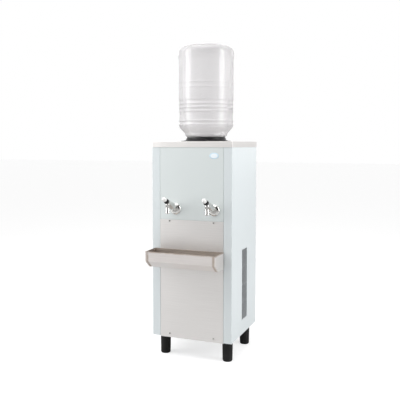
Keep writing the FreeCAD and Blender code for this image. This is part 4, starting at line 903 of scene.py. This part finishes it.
enamel = black_plastic("compressor_enamel", (0.014, 0.014, 0.015), 0.28, 300.0)
enamel.node_tree.nodes["Principled BSDF"].inputs["Coat Weight"].default_value = 0.4
cover_black = black_plastic("cover_black", (0.03, 0.03, 0.03), 0.5, 700.0)
low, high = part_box("compressor")
shell_x = (low.x + high.x) / 2
shell_y = (low.y + high.y) / 2
plate_z = low.z
shape = turned_shape([
    (0, plate_z + 0.0032, 0), (0.052, plate_z + 0.0032, 0.008), (0.0700, plate_z + 0.022, 0.020),
    (0.0718, plate_z + 0.078, 0), (0.0742, plate_z + 0.0795, 0.0006), (0.0749, plate_z + 0.0815, 0.0008),
    (0.0749, plate_z + 0.0870, 0.0008), (0.0725, plate_z + 0.0885, 0.0006), (0.0700, plate_z + 0.130, 0.016),
    (0.0560, high.z - 0.0135, 0.014), (0.0300, high.z - 0.0022, 0.008), (0, high.z - 0.0001, 0),
], steps=80)
shifted(shape, shell_x, shell_y, 0)
finished(shape, "compressor_shell", enamel, "cabinet", "compressor_black", "compressor")
shape = bmesh.new()
slab(shape, (high.x - low.x - 0.0004, 0.1156, 0.003), (shell_x, shell_y, plate_z + 0.0015))
corners = [edge for edge in shape.edges if abs((edge.verts[0].co - edge.verts[1].co).z) > 0.001]
rounded(shape, corners, 0.014, 6)
rounded(shape, [edge for edge in shape.edges if edge.calc_face_angle(0) > 0.8], 0.0006, 2)
finished(shape, "compressor_feet", enamel, "cabinet", "compressor_black")
dress(cover_black, "terminal_cover")

# ---------------------------------------------------------------- condenser and fan
# Aluminium fins on a copper tube behind the right-hand vent, with a shrouded fan that draws air through
# them. The five blades are moulded with a slight curve, and the motor hangs on the shroud's arms.

fin_metal = bare_metal("fin_aluminium", (0.50, 0.51, 0.52), (0.66, 0.67, 0.68), 0.32, 0.5, scale=30.0)
dress(fin_metal, "condenser_core")
motor_metal = bare_metal("motor_steel", (0.30, 0.30, 0.31), (0.46, 0.46, 0.47), 0.3, 0.46, scale=60.0)
dress(motor_metal, "fan_motor")
shroud_black = black_plastic("shroud_black", (0.02, 0.02, 0.021), 0.45, 500.0)
dress(shroud_black, "fan_shroud")
fan_low, fan_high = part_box("fan_blade")
motor_low, motor_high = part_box("fan_motor")
fan_y = (motor_low.y + motor_high.y) / 2
fan_z = (motor_low.z + motor_high.z) / 2
hub_length = 0.018
hub_back = fan_high.x - hub_length
blade_count = 5
blade_root = 0.0135
blade_span = 0.0520
fan_white = clouded("fan_white", (0.70, 0.70, 0.68), (0.55, 0.54, 0.51), (0.35, 0.6), (40.0, 0.35, 0.8))[0]


def on_shaft(shape, x):
    """Turns a shape made along +Z to lie on the fan's axis, from that x."""
    return shifted(rotated(shape, math.radians(90), "Y"), x, fan_y, fan_z)


shape = turned_shape([
    (0, 0.0002, 0), (0.0156, 0.0002, 0.0008), (0.0158, 0.012, 0), (0.0140, 0.0165, 0.003),
    (0.0060, 0.0179, 0.001), (0, 0.0179, 0),
], steps=48)
for count in range(blade_count):
    sheet = bmesh.ops.create_grid(shape, x_segments=10, y_segments=6, size=0.5)["verts"]
    for vert in sheet:
        along, across = vert.co.x + 0.5, vert.co.y
        radius = blade_root + blade_span * along
        half = (0.62 - 0.18 * along) * (1 - 0.25 * max(0.0, along - 0.8) * 5 * abs(across) * 2)
        angle = count * math.tau / blade_count + across * half * 1.15
        rise = 0.009 + across * (0.0145 - 0.005 * along) + 0.0016 * math.cos(across * math.pi)
        vert.co = Vector((radius * math.cos(angle), radius * math.sin(angle), rise))
    faces = list({face for vert in sheet for face in vert.link_faces})
    bmesh.ops.solidify(shape, geom=faces, thickness=0.0014)
finished(on_shaft(faced(shape), hub_back), "fan_wheel", fan_white, "fan", "fan_plastic", "fan_blade")
shaft_length = hub_back - fan_low.x + 0.002
shaft = turned_shape([(0, 0, 0), (0.0029, 0, 0.0003), (0.0029, shaft_length, 0), (0, shaft_length, 0)],
                     steps=24)
finished(on_shaft(shaft, fan_low.x), "fan_shaft", stem_steel, "fan", "fan_plastic")

# ---------------------------------------------------------------- studio
# Plain pale floor and white surroundings. A tall soft lamp stands on each side and a broad one overhead;
# what shines also mirrors a dimmer front of the room. The camera stands at the photograph's angle.

floor_glow = 0.6
room_light = 0.6
floor_mesh = bpy.data.meshes.new("studio_floor")
shape = bmesh.new()
bmesh.ops.create_grid(shape, x_segments=1, y_segments=1, size=30.0)
shape.to_mesh(floor_mesh)
shape.free()
floor = bpy.data.objects.new("studio_floor", floor_mesh)
bpy.context.scene.collection.objects.link(floor)
floor_paint, floor_shader = blank_finish("studio_floor", (0.54, 0.54, 0.54), 0.9)[:2]
floor_mesh.materials.append(floor_paint)
floor_shader.inputs["Emission Color"].default_value = (1, 1, 1, 1)
floor_rays = new_node(floor_paint.node_tree, "ShaderNodeLightPath")
floor_lift = maths(floor_paint.node_tree, "MULTIPLY", floor_rays.outputs["Is Camera Ray"], floor_glow)
wire(floor_paint, floor_lift, floor_shader.inputs["Emission Strength"])

world = bpy.data.worlds.new("studio_world")
bpy.context.scene.world = world
world.use_nodes = True
room = world.node_tree
sky = room.nodes["Background"]
sky.inputs["Color"].default_value = (1, 1, 1, 1)
heading = new_node(room, "ShaderNodeTexCoord").outputs["Generated"]


def dim_patch(towards, inner, outer, depth):
    """How much the room dims round one direction: in full to the inner angle, not at all past the outer."""
    dot = new_node(room, "ShaderNodeVectorMath", operation="DOT_PRODUCT")
    room.links.new(heading, dot.inputs[0])
    dot.inputs[1].default_value = Vector(towards).normalized()
    fade = new_node(room, "ShaderNodeMapRange", interpolation_type="SMOOTHSTEP")
    fade.inputs["From Min"].default_value = math.cos(math.radians(outer))
    fade.inputs["From Max"].default_value = math.cos(math.radians(inner))
    fade.inputs["To Max"].default_value = depth
    room.links.new(dot.outputs["Value"], fade.inputs["Value"])
    return fade.outputs["Result"]


front_dim = dim_patch((0, -1, 0), 75.0, 105.0, 0.12)
dark_room = dim_patch((0.70, -0.68, 0.25), 28.0, 50.0, 0.84)
dark_side = dim_patch((0.96, -0.10, -0.05), 20.0, 34.0, 0.8)
mirrored = maths(room, "SUBTRACT", maths(room, "SUBTRACT", 1.0, front_dim),
                 maths(room, "MAXIMUM", dark_room, dark_side))
rays = new_node(room, "ShaderNodeLightPath")
seen = maths(room, "MAXIMUM", rays.outputs["Is Camera Ray"], rays.outputs["Is Transmission Ray"])
plain_or_mirror = new_node(room, "ShaderNodeMapRange")
plain_or_mirror.inputs["To Min"].default_value = room_light
level = new_node(room, "ShaderNodeMapRange")
for start, end in ((mirrored, plain_or_mirror.inputs["To Max"]),
                   (rays.outputs["Is Glossy Ray"], plain_or_mirror.inputs["Value"]),
                   (seen, level.inputs["Value"]),
                   (plain_or_mirror.outputs["Result"], level.inputs["To Min"]),
                   (level.outputs["Result"], sky.inputs["Strength"])):
    room.links.new(start, end)


def soft_lamp(name, place, aim, size, power):
    data = bpy.data.lights.new(name, "AREA")
    data.shape = "RECTANGLE"
    data.size, data.size_y = size
    data.energy = power
    lamp = bpy.data.objects.new(name, data)
    lamp.location = place
    lamp.rotation_euler = (Vector(aim) - Vector(place)).to_track_quat("-Z", "Y").to_euler()
    bpy.context.scene.collection.objects.link(lamp)


soft_lamp("left_window", (-1.86, middle_y - 1.17, 1.6), (0, middle_y, 1.2), (0.95, 2.7), 42.0)
soft_lamp("right_window", (2.4, middle_y - 0.09, 1.5), (0, middle_y, 1.1), (1.0, 2.5), 47.0)
soft_lamp("overhead", (-0.2, -1.1, 3.3), (0, 0, 0.8), (2.2, 2.2), 33.0)

bpy.context.scene.view_settings.view_transform = "Standard"

# Pixels across the photograph, its focal length and the row of the lens's axis in pixels, and how far
# the camera looks down and is turned, in degrees.
photo_pixels = 400
focal_pixels = 589.8
axis_row = 178.54
camera_down = 3.28
camera_turn = 21.75
sensor_width = 36.0
camera_data = bpy.data.cameras.new("photo_camera")
camera_data.sensor_width = sensor_width
camera_data.lens = focal_pixels / photo_pixels * sensor_width
camera_data.shift_y = -(photo_pixels / 2 - axis_row) / photo_pixels
camera = bpy.data.objects.new("photo_camera", camera_data)
camera.location = (1.0445, -2.6991 + middle_y, 1.0094)
camera.rotation_euler = (math.radians(90 - camera_down), 0, math.radians(camera_turn))
bpy.context.scene.collection.objects.link(camera)
bpy.context.scene.camera = camera
